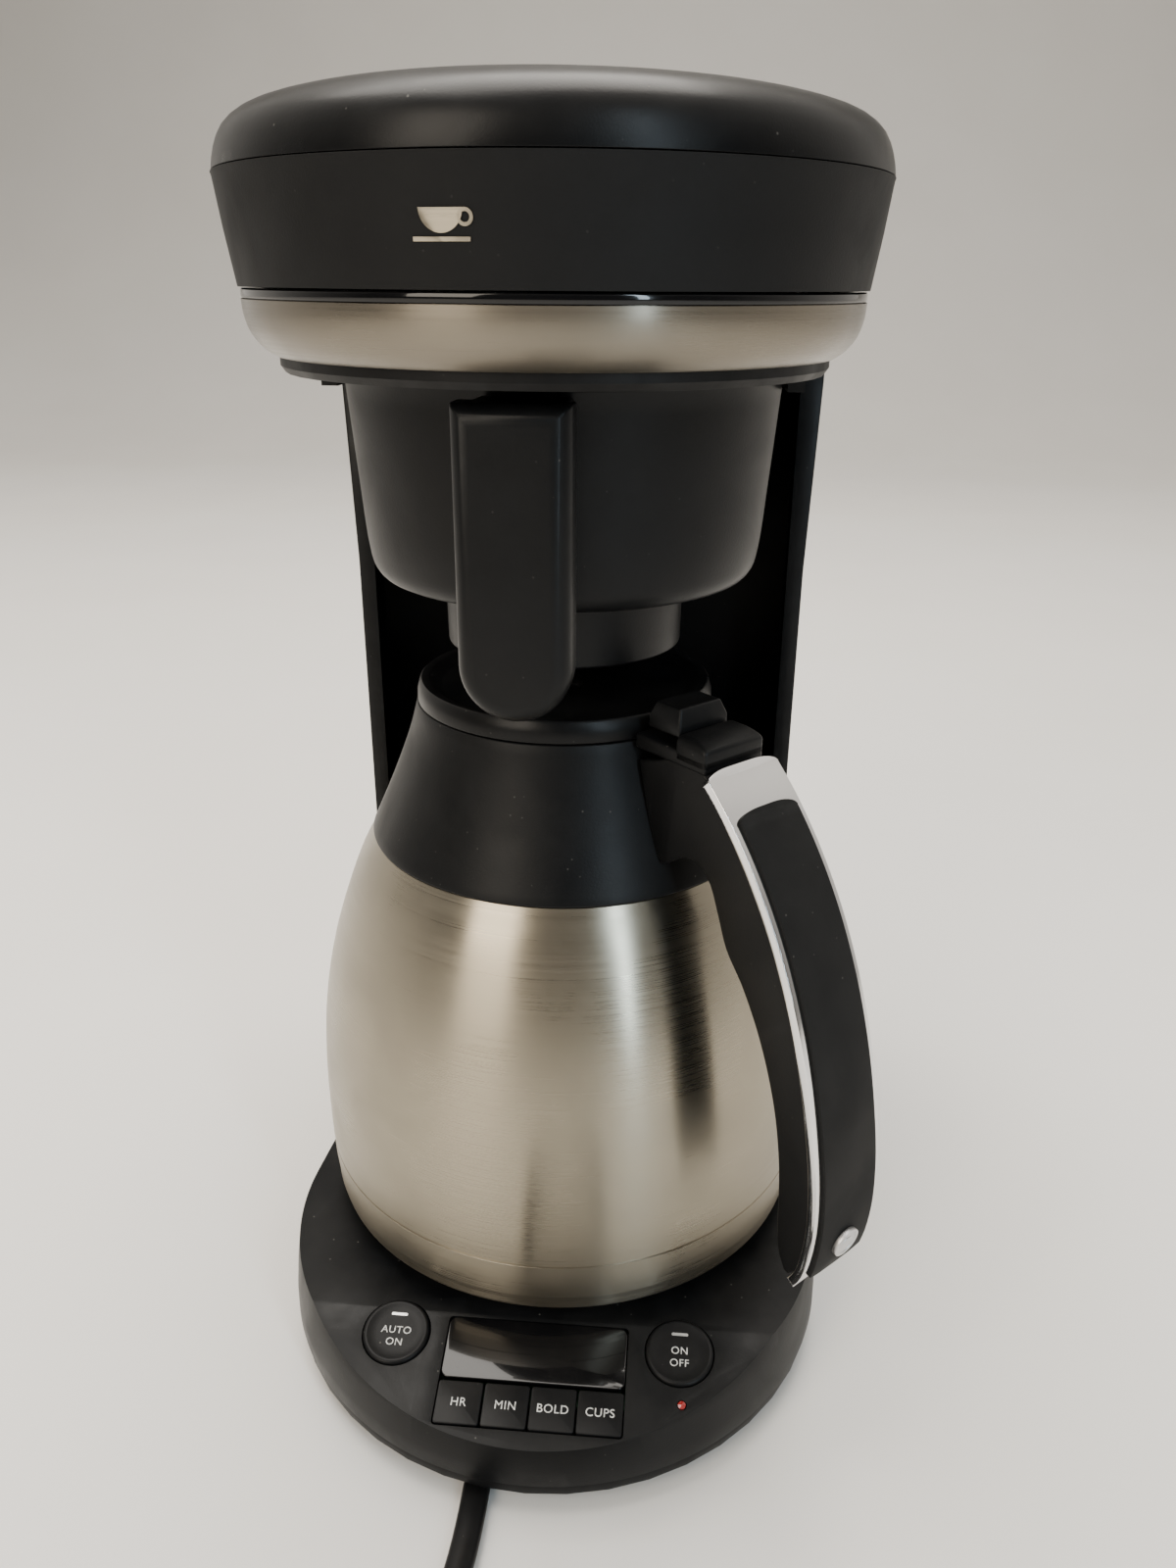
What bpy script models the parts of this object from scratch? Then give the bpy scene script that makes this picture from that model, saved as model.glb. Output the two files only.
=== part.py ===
"""Drip coffee maker with a thermal carafe, as an assembly of separate pieces.

All numbers are millimetres in the machine's own frame: the head's axis stands at
x = y = 0, the front faces -Y and the table is z = 0.  MM turns them into metres, and
the empty called machine moves the finished assembly over its footprint's middle.
"""
import math

import bmesh
import bpy
from mathutils import Matrix, Vector

MM = 0.001
GAP = 0.3                       # clearance kept between pieces that touch

# Plan outlines: front circle radius, its centre y, half width at the back, back y,
# radius of the back corners.
BACK = 170.0
HEAD = (85.0, 0.0, 79.5, BACK, 26.0)
BASE = (93.0, -6.0, 80.5, BACK, 26.0)
FOOTPRINT_MIDDLE = (3.3, 38.5)  # middle of the whole machine, carafe handle included

# Heights of the body.
FOOT_TOP = 5.7
PLATE_BOTTOM = 6.0
BASE_SEAM = 11.5
DECK = 34.6
COLUMN_TOP = 319.0
FLOOR_BOTTOM = 319.3
BOWL_TOP = 336.7
BAND_TOP = 339.2
RING_TOP = 364.7
LID_TOP = 384.4

# Sloped control panel.
PANEL_TILT = math.radians(13.0)
PANEL_Y = -75.5
PANEL_WALL = 2.8
CLUSTER_HALF = 28.5             # half width of the display and key cluster
ROUND_BUTTON_R = 10.65
ROUND_BUTTON_AT = (45.0, 9.6)   # x, and distance up the slope from the panel's middle
LIGHT_AT = (46.0, -6.5)
PANEL_TOP_Y = -58.5             # where the slope meets the flat deck
DISPLAY_MIDDLE = 6.3            # up the slope from the panel's middle
DISPLAY_HALF = 9.7
KEY_MIDDLE = -10.9
KEY_HALF = 6.5
KEY_SPLIT = 0.5                 # space between two keys
FIT = 0.35                      # space round a key, a button or the window in its opening

# Column and tank.
COLUMN_FRONT = 68.0
RECESS_R = 92.0
COLUMN_WALL = 2.6
RECESS_HALF = 72.0
TANK_HALF = 52.0
TANK_BACK = 156.5
TANK_MIDDLE = 112.0
RISER_AT = (-58.5, 112.0)
VALVE_AT = (30.0, 138.0)
HOSE_HOLE_R = 6.0               # holes that let the hoses up through the deck
HEATER_R = 50.0
HEATER_Z = 18.5
CLEAR = 420.0                   # a height above everything, where upright cutters end

# Carafe and brew basket share one upright axis behind the head's own.
POUR_Y = 22.0
POUR = (0, POUR_Y)
HANDLE_TURN = math.radians(44.0)   # carafe handle, turned to the right of the front
BASKET_TURN = math.radians(-2.5)   # basket handle, a little to the left

HINGE_Y = BACK + 3.0
HINGE_Z = 366.5
HINGE_PIN_R = 1.5
HINGE_HOLE_R = 1.75
KNUCKLE_R = 3.0
LID_KNUCKLE = (22.0, 30.0)      # inner and outer face of a knuckle, from the middle
RING_KNUCKLE = (30.6, 35.0)

LEVER_PIN_AT = (68.0, 224.4)    # out along the carafe's handle, and up
LEVER_PIN_R = 1.0
LEVER_HOLE_R = 1.3
BADGE_AT = (129.2, 88.0)

CORD_R = 2.5
CORD_Z = 2.8


def material(name, colour, roughness, metallic=0.0):
    made = bpy.data.materials.new(name)
    made.use_nodes = True
    shader = made.node_tree.nodes["Principled BSDF"]
    shader.inputs["Base Color"].default_value = (*colour, 1.0)
    shader.inputs["Roughness"].default_value = roughness
    shader.inputs["Metallic"].default_value = metallic
    return made


def empty(name, parent=None):
    made = bpy.data.objects.new(name, None)
    made.parent = parent
    bpy.context.scene.collection.objects.link(made)
    return made


def piece(name, mesh_build, look, pivot=(0, 0, 0), smooth=True):
    """Make an object from a bmesh in machine millimetres, with its origin at pivot."""
    bmesh.ops.recalc_face_normals(mesh_build, faces=mesh_build.faces)
    shift = Matrix.Translation(-Vector(pivot))
    bmesh.ops.transform(mesh_build, matrix=Matrix.Scale(MM, 4) @ shift, verts=mesh_build.verts)
    mesh = bpy.data.meshes.new(name)
    mesh_build.to_mesh(mesh)
    mesh_build.free()
    if smooth:
        mesh.shade_smooth()
        mesh.set_sharp_from_angle(angle=math.radians(35))
    mesh.materials.append(look)
    made = bpy.data.objects.new(name, mesh)
    made.parent = MACHINE
    made.location = Vector(pivot) * MM
    bpy.context.scene.collection.objects.link(made)
    return made


def cutter(mesh_build):
    made = piece("cutter", mesh_build, BLACK, smooth=False)
    made.hide_render = True
    made.display_type = "WIRE"
    return made


def combine(target, tool, operation="DIFFERENCE"):
    """Cut, join or intersect target with a tool object that isn't part of the machine."""
    modifier = target.modifiers.new(operation.lower(), "BOOLEAN")
    modifier.operation = operation
    modifier.solver = "EXACT"
    modifier.object = tool


def turned(profile, steps=32, closed=False, centre=(0.0, 0.0)):
    """Spin a profile of (radius, z) points about an upright axis through centre."""
    build = bmesh.new()
    verts = [build.verts.new((centre[0] + r, centre[1], z)) for r, z in profile]
    edges = [build.edges.new(pair) for pair in zip(verts, verts[1:])]
    if closed:
        edges.append(build.edges.new((verts[-1], verts[0])))
    bmesh.ops.spin(build, geom=verts + edges, cent=(*centre, 0), axis=(0, 0, 1),
                   angle=math.tau, steps=steps, use_merge=True)
    bmesh.ops.remove_doubles(build, verts=build.verts, dist=0.001)
    return build


def lofted(loops, ring=False):
    """Skin equal loops of points; the ends are capped, or joined when ring is true."""
    build = bmesh.new()
    rows = [[build.verts.new(point) for point in loop] for loop in loops]
    pairs = list(zip(rows, rows[1:]))
    if ring:
        pairs.append((rows[-1], rows[0]))
    else:
        build.faces.new(rows[0])
        build.faces.new(rows[-1])
    for low, high in pairs:
        for i in range(len(low)):
            j = (i + 1) % len(low)
            build.faces.new((low[i], low[j], high[j], high[i]))
    return build


def plan(shape, inset, z, front_steps=24, corner_steps=4):
    """Outline of a body: a front circle and two back corners inside one taut band."""
    radius, centre_y, half, back, corner = shape
    radius -= inset
    corner = max(corner - inset, 3.0)
    hub = Vector((half - inset - corner, back - inset - corner - centre_y))
    side = math.atan2(hub.y, hub.x) - math.acos((radius - corner) / hub.length)
    points = []
    for i in range(front_steps + 1):
        turn = math.pi - side + (math.pi + 2 * side) * i / front_steps
        points.append((radius * math.cos(turn), centre_y + radius * math.sin(turn), z))
    for sign in (1, -1):
        for i in range(corner_steps + 1):
            share = i if sign > 0 else corner_steps - i
            turn = side + (math.pi / 2 - side) * share / corner_steps
            x = sign * (hub.x + corner * math.cos(turn))
            points.append((x, centre_y + hub.y + corner * math.sin(turn), z))
    return points


def plan_loft(shape, steps, ring=False):
    return lofted([plan(shape, inset, z) for inset, z in steps], ring)


def rounded(half_x, half_y, corner, steps=4):
    """Outline of a rectangle with round corners, about its own middle."""
    points = []
    for k, (sx, sy) in enumerate(((1, 1), (-1, 1), (-1, -1), (1, -1))):
        for i in range(steps + 1):
            turn = math.pi / 2 * (k + i / steps)
            points.append((sx * (half_x - corner) + corner * math.cos(turn),
                           sy * (half_y - corner) + corner * math.sin(turn)))
    return points


def prism(outline, low, high, shift=(0.0, 0.0)):
    return lofted([[(x + shift[0], y + shift[1], z) for x, y in outline] for z in (low, high)])


def block(low, high):
    build = bmesh.new()
    size = Vector(high) - Vector(low)
    middle = (Vector(high) + Vector(low)) / 2
    place = Matrix.Translation(middle) @ Matrix.Diagonal((*size, 1.0))
    bmesh.ops.create_cube(build, size=1.0, matrix=place)
    return build


def moved(build, matrix):
    bmesh.ops.transform(build, matrix=matrix, verts=build.verts)
    return build


def tube(name, route, radius, look, resolution=2, every=7.0):
    """A round tube through the route's points, smoothed, with flat filled ends."""
    points = smooth_route(route, every)
    curve = bpy.data.curves.new(name, "CURVE")
    curve.dimensions = "3D"
    spline = curve.splines.new("POLY")
    spline.points.add(len(points) - 1)
    for place, point in zip(spline.points, points):
        place.co = (*(point * MM), 1.0)
    curve.bevel_depth = radius * MM
    curve.bevel_resolution = resolution
    curve.use_fill_caps = True
    curve.materials.append(look)
    made = bpy.data.objects.new(name, curve)
    made.parent = MACHINE
    bpy.context.scene.collection.objects.link(made)
    return made


def smooth_route(route, every):
    """Points about `every` apart along a centripetal curve through the route."""
    knots = [Vector(p) for p in route]
    knots = [2 * knots[0] - knots[1]] + knots + [2 * knots[-1] - knots[-2]]
    points = []
    for a, b, c, d in zip(knots, knots[1:], knots[2:], knots[3:]):
        t1 = (b - a).length ** 0.5
        t2 = t1 + (c - b).length ** 0.5
        t3 = t2 + (d - c).length ** 0.5
        steps = max(1, round((c - b).length / every))
        for i in range(steps):
            t = t1 + (t2 - t1) * i / steps
            p = a.lerp(b, t / t1)
            q = b.lerp(c, (t - t1) / (t2 - t1))
            r = c.lerp(d, (t - t2) / (t3 - t2))
            u = p.lerp(q, t / t2)
            v = q.lerp(r, (t - t1) / (t3 - t1))
            points.append(u.lerp(v, (t - t1) / (t2 - t1)))
    points.append(knots[-2])
    return points


def panel_frame():
    """Matrix of the sloped panel: its middle, x to the right, y up the slope."""
    height = DECK + (PANEL_Y - PANEL_TOP_Y) * math.tan(PANEL_TILT)
    return Matrix.Translation((0, PANEL_Y, height)) @ Matrix.Rotation(PANEL_TILT, 4, "X")


def handle_frame(turn=HANDLE_TURN):
    """Matrix whose local x runs outwards from the pour axis along a turned handle."""
    return Matrix.Translation((0, POUR_Y, 0)) @ Matrix.Rotation(turn - math.pi / 2, 4, "Z")


def upright_plate(outline, half_width, turn, low_side=None):
    """Extrude an outline of (outwards, z) points to both sides of a handle's plane."""
    low_side = -half_width if low_side is None else low_side
    loops = [[(out, side, z) for out, z in outline] for side in (low_side, half_width)]
    return moved(lofted(loops), handle_frame(turn))


# ------------------------------------------------------------------ the base

def front_slope(drop):
    """Everything above the panel's plane, lowered by drop, as one big block."""
    return moved(block((-150, -90, -drop), (150, 18, 90)), panel_frame())


def build_base():
    shell = piece("base_shell", plan_loft(BASE, [(0, BASE_SEAM), (0.2, 18), (2.0, DECK)]), SOFT_BLACK)
    combine(shell, cutter(front_slope(0)))
    hollow = cutter(plan_loft(BASE, [(2.6, BASE_SEAM - 1), (4.6, DECK - 3.0)]))
    combine(hollow, cutter(front_slope(PANEL_WALL)))
    combine(shell, hollow)
    combine(shell, cutter(turned([(0, DECK - 1.0), (74.3, DECK - 1.0), (74.3, DECK + 5), (0, DECK + 5)],
                                 centre=POUR)))
    combine(shell, cutter(panel_openings()))
    for x, y in (RISER_AT, VALVE_AT):
        combine(shell, cutter(turned([(0, 20), (HOSE_HOLE_R, 20), (HOSE_HOLE_R, 60), (0, 60)], 20,
                                     centre=(x, y))))
    piece("seat_pad", turned([(0, DECK - 0.7), (74, DECK - 0.7), (74, DECK + 0.5), (0, DECK + 0.5)],
                             centre=POUR), RUBBER)
    plate = piece("base_plate", plan_loft(BASE, [(6.5, 8.4), (4.2, 11.2), (0.6, 11.2), (0.6, 7.4),
                                                 (2.0, PLATE_BOTTOM)]), SOFT_BLACK)
    combine(plate, cutter(prism(rounded(7.0, 28.0, 6.9), 0, 10, (-22, 74))))
    for i, (x, y) in enumerate(((-60, -52), (60, -52), (-58, 134), (58, 134))):
        profile = [(0, 0), (7.0, 0), (8.0, 1.2), (7.4, FOOT_TOP), (0, FOOT_TOP)]
        piece(f"foot_{i + 1}", turned(profile, 20, centre=(x, y)), RUBBER)
    for i, (x, y) in enumerate(((-40, -70), (40, -70), (-30, 156), (68, 110))):
        profile = [(0, 8.7), (3.2, 8.7), (3.0, 10.4), (1.5, 10.6), (1.5, 18.0), (0, 18.0)]
        piece(f"base_screw_{i + 1}", turned(profile, 12, centre=(x, y)), STEEL)


def panel_openings():
    """The holes through the sloped panel, as one group of joined shafts."""
    build = bmesh.new()
    depth = PANEL_WALL + 3
    outlines = [([(x, y - 0.8) for x, y in rounded(CLUSTER_HALF + FIT, 17.1, 1.3)])]
    for side in (-1, 1):
        x, y = side * ROUND_BUTTON_AT[0], ROUND_BUTTON_AT[1]
        outlines.append(circle(ROUND_BUTTON_R + FIT, x, y))
    outlines.append(circle(1.5, *LIGHT_AT, 12))
    for outline in outlines:
        shaft = prism(outline, -depth, depth)
        mesh = bpy.data.meshes.new("shaft")
        shaft.to_mesh(mesh)
        shaft.free()
        build.from_mesh(mesh)
        bpy.data.meshes.remove(mesh)
    return moved(build, panel_frame())


def circle(radius, x=0.0, y=0.0, steps=28):
    turns = [math.tau * i / steps for i in range(steps)]
    return [(x + radius * math.cos(t), y + radius * math.sin(t)) for t in turns]


def build_panel():
    """Display, keys and electronics, all in the panel's sloped frame."""
    frame = panel_frame()
    lens = prism(rounded(CLUSTER_HALF, DISPLAY_HALF, 2.6), -2.6, 0.25, (0, DISPLAY_MIDDLE))
    piece("display_lens", moved(lens, frame), GLOSS_BLACK)
    piece("display_module", moved(block((-24, -2.0, -6.4), (24, 13.0, -2.9)), frame), SCREEN)
    width = (2 * CLUSTER_HALF - 3 * KEY_SPLIT) / 4
    for i, name in enumerate(("hour", "minute", "bold", "cups")):
        x = -CLUSTER_HALF + width / 2 + i * (width + KEY_SPLIT)
        cap = prism(rounded(width / 2, KEY_HALF, 1.0, 2), -3.2, 0.35, (x, KEY_MIDDLE))
        key = piece(f"{name}_key", moved(cap, frame), SOFT_BLACK)
        combine(key, cutter(moved(prism(circle(2.0, x, KEY_MIDDLE, 12), -6.0, -3.0), frame)), "UNION")
    for side, name in ((-1, "auto_button"), (1, "power_button")):
        x, y = side * ROUND_BUTTON_AT[0], ROUND_BUTTON_AT[1]
        profile = [(0, -6.0), (3.0, -6.0), (3.0, -3.2), (ROUND_BUTTON_R, -3.2), (ROUND_BUTTON_R, 0.1),
                   (ROUND_BUTTON_R - 0.6, 0.7), (0, 0.95)]
        piece(name, moved(turned(profile, 28, centre=(x, y)), frame), SOFT_BLACK)
    light = turned([(0, -4.0), (1.2, -4.0), (1.2, 0.1), (0, 0.4)], 12, centre=LIGHT_AT)
    piece("status_light", moved(light, frame), RED_LENS)
    piece("control_board", moved(block((-46, -6.0, -9.6), (46, 13.5, -8.0)), frame), BOARD)


# ------------------------------------------------------------------ the column

def build_column():
    shell = piece("column_shell", plan_loft(HEAD, [(5.0, DECK + GAP), (5.6, 150), (5.0, 250), (3.2, 312),
                                                   (3.5, BAND_TOP)]), SOFT_BLACK)
    combine(shell, cutter(block((-120, -120, 0), (120, COLUMN_FRONT, CLEAR))))
    recess = cutter(turned([(0, 0), (RECESS_R, 0), (RECESS_R, CLEAR), (0, CLEAR)], 40,
                           centre=POUR))
    combine(recess, cutter(block((-RECESS_HALF, 0, -10), (RECESS_HALF, 150, CLEAR + 10))), "INTERSECT")
    combine(shell, recess)
    shaft = cutter(plan_loft(HEAD, [(COLUMN_WALL + 5.8, DECK + 3), (COLUMN_WALL + 5.8, CLEAR)]))
    combine(shaft, cutter(turned([(0, 0), (RECESS_R + COLUMN_WALL, 0),
                                  (RECESS_R + COLUMN_WALL, CLEAR + 10), (0, CLEAR + 10)], 40,
                                 centre=POUR)))
    combine(shaft, cutter(block((-120, -120, 0), (120, COLUMN_FRONT + 16, CLEAR + 20))))
    combine(shell, shaft)
    combine(shell, cutter(plan_loft(HEAD, [(10.8, COLUMN_TOP), (10.8, 345)])))
    for x, y in (RISER_AT, VALVE_AT):
        combine(shell, cutter(turned([(0, 20), (HOSE_HOLE_R, 20), (HOSE_HOLE_R, 60), (0, 60)], 20,
                                     centre=(x, y))))
    tank = piece("water_tank", tank_body(0.0, 40.0, 354.0), TANK)
    combine(tank, tank_cutter(0.0))
    inside = cutter(tank_body(2.0, 42.0, 380.0))
    combine(inside, tank_cutter(2.0))
    combine(tank, inside)
    combine(tank, cutter(turned([(0, 30), (4.0, 30), (4.0, 44), (0, 44)], 16, centre=VALVE_AT)))
    valve = [(2.2, 24), (5.2, 24), (5.2, 38.5), (7.5, 38.5), (7.5, 39.7), (2.2, 39.7)]
    piece("check_valve", turned(valve, 20, closed=True, centre=VALVE_AT), RUBBER)


def tank_body(inset, low, high):
    outline = rounded(TANK_HALF - inset, TANK_BACK - TANK_MIDDLE - inset, 8.0 - inset)
    return prism(outline, low, high, (0, TANK_MIDDLE))


def tank_cutter(inset):
    radius = RECESS_R + COLUMN_WALL + 0.4 + inset
    return cutter(turned([(0, 0), (radius, 0), (radius, CLEAR), (0, CLEAR)], 40, centre=POUR))


def build_heater():
    """Flow heater under the carafe, and the hoses to and from it."""
    first, last = math.radians(20), math.radians(-200)
    arc = []
    for i in range(13):
        turn = first + (last - first) * i / 12
        arc.append((HEATER_R * math.cos(turn), POUR_Y + HEATER_R * math.sin(turn), HEATER_Z))
    tube("heating_element", arc, 5.0, ALUMINIUM, every=14)
    start, end = Vector(arc[0]), Vector(arc[-1])
    back = Vector((-math.sin(first), math.cos(first), 0))
    x, y = VALVE_AT
    tube("cold_hose", [start + back * 1.2, start + back * 12, (37, 78, 17), (x + 1, y - 28, 16.5),
                       (x, y - 8, 17), (x, y - 2, 18.5), (x, y, 21), (x, y, 23.2)], 4.0, CLEAR_HOSE)
    back.x = -back.x
    x, y = RISER_AT
    tube("riser_tube", [end + back * 1.2, end + back * 12, (-54, 80, 18), (x, y - 12, 18.5),
                        (x, y - 2, 24), (x, y, 36), (x, y, 80), (x, y, 200), (x, y, 300),
                        (x, y - 0.2, 320), (x, y - 8, 333), (x + 1, y - 22, 337), (-36, 56, 337),
                        (-15, 32, 336)],
         4.0, CLEAR_HOSE, every=14)
    piece("thermostat", turned([(0, 8.9), (8, 8.9), (8, 13.1), (0, 13.1)], 20, centre=(0, -28)), STEEL)


# ------------------------------------------------------------------ the head

def build_head():
    floor = piece("head_floor", plan_loft(HEAD, [(13.4, FLOOR_BOTTOM), (12.2, 321.0), (12.2, 323.4)]),
                  SOFT_BLACK)
    combine(floor, cutter(turned([(0, 300), (50, 300), (50, 340), (0, 340)], centre=POUR)))
    hole = cutter(tank_body(-0.6, 300, 340))
    combine(hole, tank_cutter(-0.6))
    combine(floor, hole)
    combine(floor, cutter(turned([(0, 300), (7.0, 300), (7.0, 340), (0, 340)], 20,
                                 centre=(RISER_AT[0] + 0.3, RISER_AT[1] - 2))))
    for side in (-1, 1):
        low, high = sorted((side * 63.3, side * 68.0))
        combine(floor, cutter(block((low, 8, 313.4), (high, 70, 316.5))), "UNION")
        low, high = sorted((side * 65.3, side * 68.0))
        combine(floor, cutter(block((low, 8, 316.0), (high, 70, 320.0))), "UNION")
    bowl = [(4.0, BOWL_TOP), (4.3, 333), (5.5, 329), (8.0, 325.4), (11.0, 323.2)]
    lining = [(inset + 0.9, z + 0.6) for inset, z in reversed(bowl[1:])] + [(4.9, BOWL_TOP)]
    behind = (-120, COLUMN_FRONT - GAP, 300)
    trim = piece("head_bowl", plan_loft(HEAD, bowl + lining, ring=True), BRUSHED)
    combine(trim, cutter(block(behind, (120, BACK + 10, 345))))
    line = piece("head_band", plan_loft(HEAD, [(4.2, BOWL_TOP + GAP), (4.2, BAND_TOP), (9, BAND_TOP),
                                               (9, BOWL_TOP + GAP)], ring=True), GLOSS_BLACK)
    combine(line, cutter(block(behind, (120, BACK + 10, 345))))
    ring = piece("head_ring", plan_loft(HEAD, [(3.5, BAND_TOP + GAP), (0, RING_TOP), (2.6, RING_TOP),
                                               (6.1, BAND_TOP + GAP)], ring=True), SOFT_BLACK)
    tray = piece("upper_tray", plan_loft(HEAD, [(4.4, 354.6), (4.0, 357.4)]), SOFT_BLACK)
    fill = cutter(tank_body(2.5, 340, 380))
    combine(fill, tank_cutter(2.5))
    combine(tray, fill)
    shower = [(0, 320.0), (44, 320.0), (49.4, 322.0), (49.4, 324.4), (20, 327.0), (9, 330.0), (9, 341.0),
              (0, 341.0)]
    piece("shower_head", turned(shower, centre=POUR), SOFT_BLACK)
    build_lid(ring)


def build_lid(ring):
    crown = [(0.0, RING_TOP + GAP), (1.0, 370.0), (3.0, 374.3), (6.8, 377.6), (14.0, 380.2),
             (27.0, 382.2), (50.0, 383.8), (68.0, LID_TOP)]
    wall = 2.6
    inner = [(inset + wall, z - wall) for inset, z in reversed(crown[2:-1:2])]
    inner.append((wall, RING_TOP + GAP))
    pivot = (0, HINGE_Y, HINGE_Z)
    lid = piece("lid", plan_loft(HEAD, inner + crown), SOFT_BLACK, pivot)
    for side in (-1, 1):
        low, high = sorted(side * face for face in LID_KNUCKLE)
        lug = cutter(cross_prism(circle(KNUCKLE_R, HINGE_Y, HINGE_Z, 20), low, high))
        combine(lid, lug, "UNION")
        arm = block((low, BACK - 2.2, RING_TOP + GAP), (high, HINGE_Y, RING_TOP + 3.6))
        combine(lid, cutter(arm), "UNION")
    combine(lid, cutter(cross_prism(circle(HINGE_HOLE_R, HINGE_Y, HINGE_Z, 20), -40, 40)))
    piece("lid_hinge_pin", cross_prism(circle(HINGE_PIN_R, HINGE_Y, HINGE_Z, 20), -36, 36), STEEL)
    for side in (-1, 1):
        low, high = sorted(side * face for face in RING_KNUCKLE)
        combine(ring, cutter(cross_prism(circle(KNUCKLE_R, HINGE_Y, HINGE_Z, 20), low, high)), "UNION")
        combine(ring, cutter(block((low, BACK - 2, 352), (high, BACK + 5, 362.5))), "UNION")
        combine(ring, cutter(block((low, BACK + 0.6, 361), (high, BACK + 5.4, HINGE_Z))), "UNION")
    combine(ring, cutter(cross_prism(circle(HINGE_HOLE_R, HINGE_Y, HINGE_Z, 20), -40, 40)))


def cross_prism(outline, low, high):
    """Extrude an outline of (y, z) points along x."""
    return lofted([[(x, y, z) for y, z in outline] for x in (low, high)])


# ------------------------------------------------------------------ the brew basket

def build_basket():
    outside = [(64.6, 318.8), (64.6, 317.0), (62.8, 316.8), (62.3, 311), (58.6, 268), (57.2, 262.4),
               (53.0, 259.2), (36.5, 258.8), (36.2, 238.3), (34.2, 238.3), (34.2, 256.5), (6.0, 256.5)]
    inside = [(6.0, 261.5), (51.5, 262.0), (55.6, 266.5), (60.3, 311), (60.6, 318.8)]
    basket = turned(outside + inside, closed=True, centre=POUR)
    piece("basket_shell", basket, SOFT_BLACK)
    cup = [(58.8, 317.5), (54.4, 274), (49.0, 269.6), (4.0, 269.2), (4.0, 268.0), (50.0, 268.0),
           (55.4, 272.6), (60.0, 317.5)]
    piece("filter_basket", turned(cup, closed=True, centre=POUR), SOFT_BLACK)
    face = basket_handle_outline()
    bar = piece("basket_handle", basket_bar(face, 76.5, 88.5), SOFT_BLACK)
    combine(bar, cutter(upright_plate([(60, 303), (78, 303), (78, 315.6), (60, 315.6)], 11.5, BASKET_TURN)),
            "UNION")
    combine(bar, cutter(turned([(0, 290), (63.2, 290), (63.2, 330), (0, 330)], centre=POUR)))
    plunger = [(0, 229.4), (9.0, 229.4), (10.5, 231.0), (10.5, 233.5), (4.2, 234.2), (4.2, 262.4),
               (9.5, 262.4), (9.5, 263.6), (0, 263.6)]
    piece("drip_plunger", turned(plunger, 28, centre=POUR), SOFT_BLACK)
    coil = [(5.0, 234.6), (7.4, 234.6), (7.4, 256.0), (5.0, 256.0)]
    piece("drip_spring", turned(coil, 24, closed=True, centre=POUR), STEEL)


def basket_handle_outline():
    """Face of the bar as (across, z): straight sides, round bottom, small top corners."""
    half, top, low = 14.2, 316.0, 254.0
    points = [(-half + 3, top), (-half, top - 3)]
    for i in range(17):
        turn = math.pi + math.pi * i / 16
        points.append((half * math.cos(turn), low + half * math.sin(turn)))
    return points + [(half, top - 3), (half - 3, top)]


def basket_bar(outline, near, far):
    loops = [[(out, across, z) for across, z in outline] for out in (near, far)]
    return moved(lofted(loops), handle_frame(BASKET_TURN))


# ------------------------------------------------------------------ the carafe

STEEL_PROFILE = [(63.2, 175.0), (68.0, 166.0), (74.2, 150.0), (79.5, 132.5), (83.4, 112.0),
                 (85.1, 90.0), (85.2, 72.0), (84.6, 54.0), (83.4, 41.5)]


def build_carafe():
    wall = 0.9
    inner = [(r - wall, z) for r, z in reversed(STEEL_PROFILE[::2])]
    piece("carafe_body", turned(STEEL_PROFILE + inner, 40, closed=True, centre=POUR), BRUSHED)
    foot = [(0, 38.0), (70, 38.0), (71, 35.4), (75, 35.4), (76.4, 37.5), (76.4, 41.2), (82.0, 41.2),
            (82.0, 44.0), (0, 44.0)]
    piece("carafe_foot", turned(foot, centre=POUR), SOFT_BLACK)
    shoulder = [(47.0, 219.0), (49.6, 209.5), (53.2, 199.5), (57.5, 189.0), (63.4, 175.3), (60.5, 175.3),
                (55.0, 187.0), (50.5, 198.0), (47.0, 208.0), (43.0, 214.0), (43.0, 219.0)]
    piece("carafe_shoulder", turned(shoulder, closed=True, centre=POUR), SOFT_BLACK)
    outside = [(0, 46.0), (74, 46.0), (80.0, 52.0), (82.0, 84.0), (77.4, 124.0), (70.0, 150.0),
               (59.0, 174.0), (46.0, 200.0), (41.0, 211.0), (41.0, 218.6)]
    inside = [(r - 1.0, z) for r, z in reversed(outside[2:])] + [(73.5, 47.0), (0, 47.0)]
    piece("carafe_flask", turned(outside + inside, 28, centre=POUR), BRUSHED)
    lid = [(0, 207.0), (38.0, 207.0), (38.0, 219.3), (46.8, 219.3), (46.8, 222.5), (46.0, 226.0),
           (43.0, 226.0), (39.0, 223.6), (6.0, 222.6), (4.5, 221.0), (4.5, 214.0), (0, 214.0)]
    piece("carafe_lid", turned(lid, centre=POUR), SOFT_BLACK)
    seal = [(38.3, 209.0), (39.7, 209.0), (39.7, 211.5), (38.3, 211.5)]
    piece("lid_seal", turned(seal, 40, closed=True, centre=POUR), RUBBER)
    build_carafe_handle()


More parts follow.
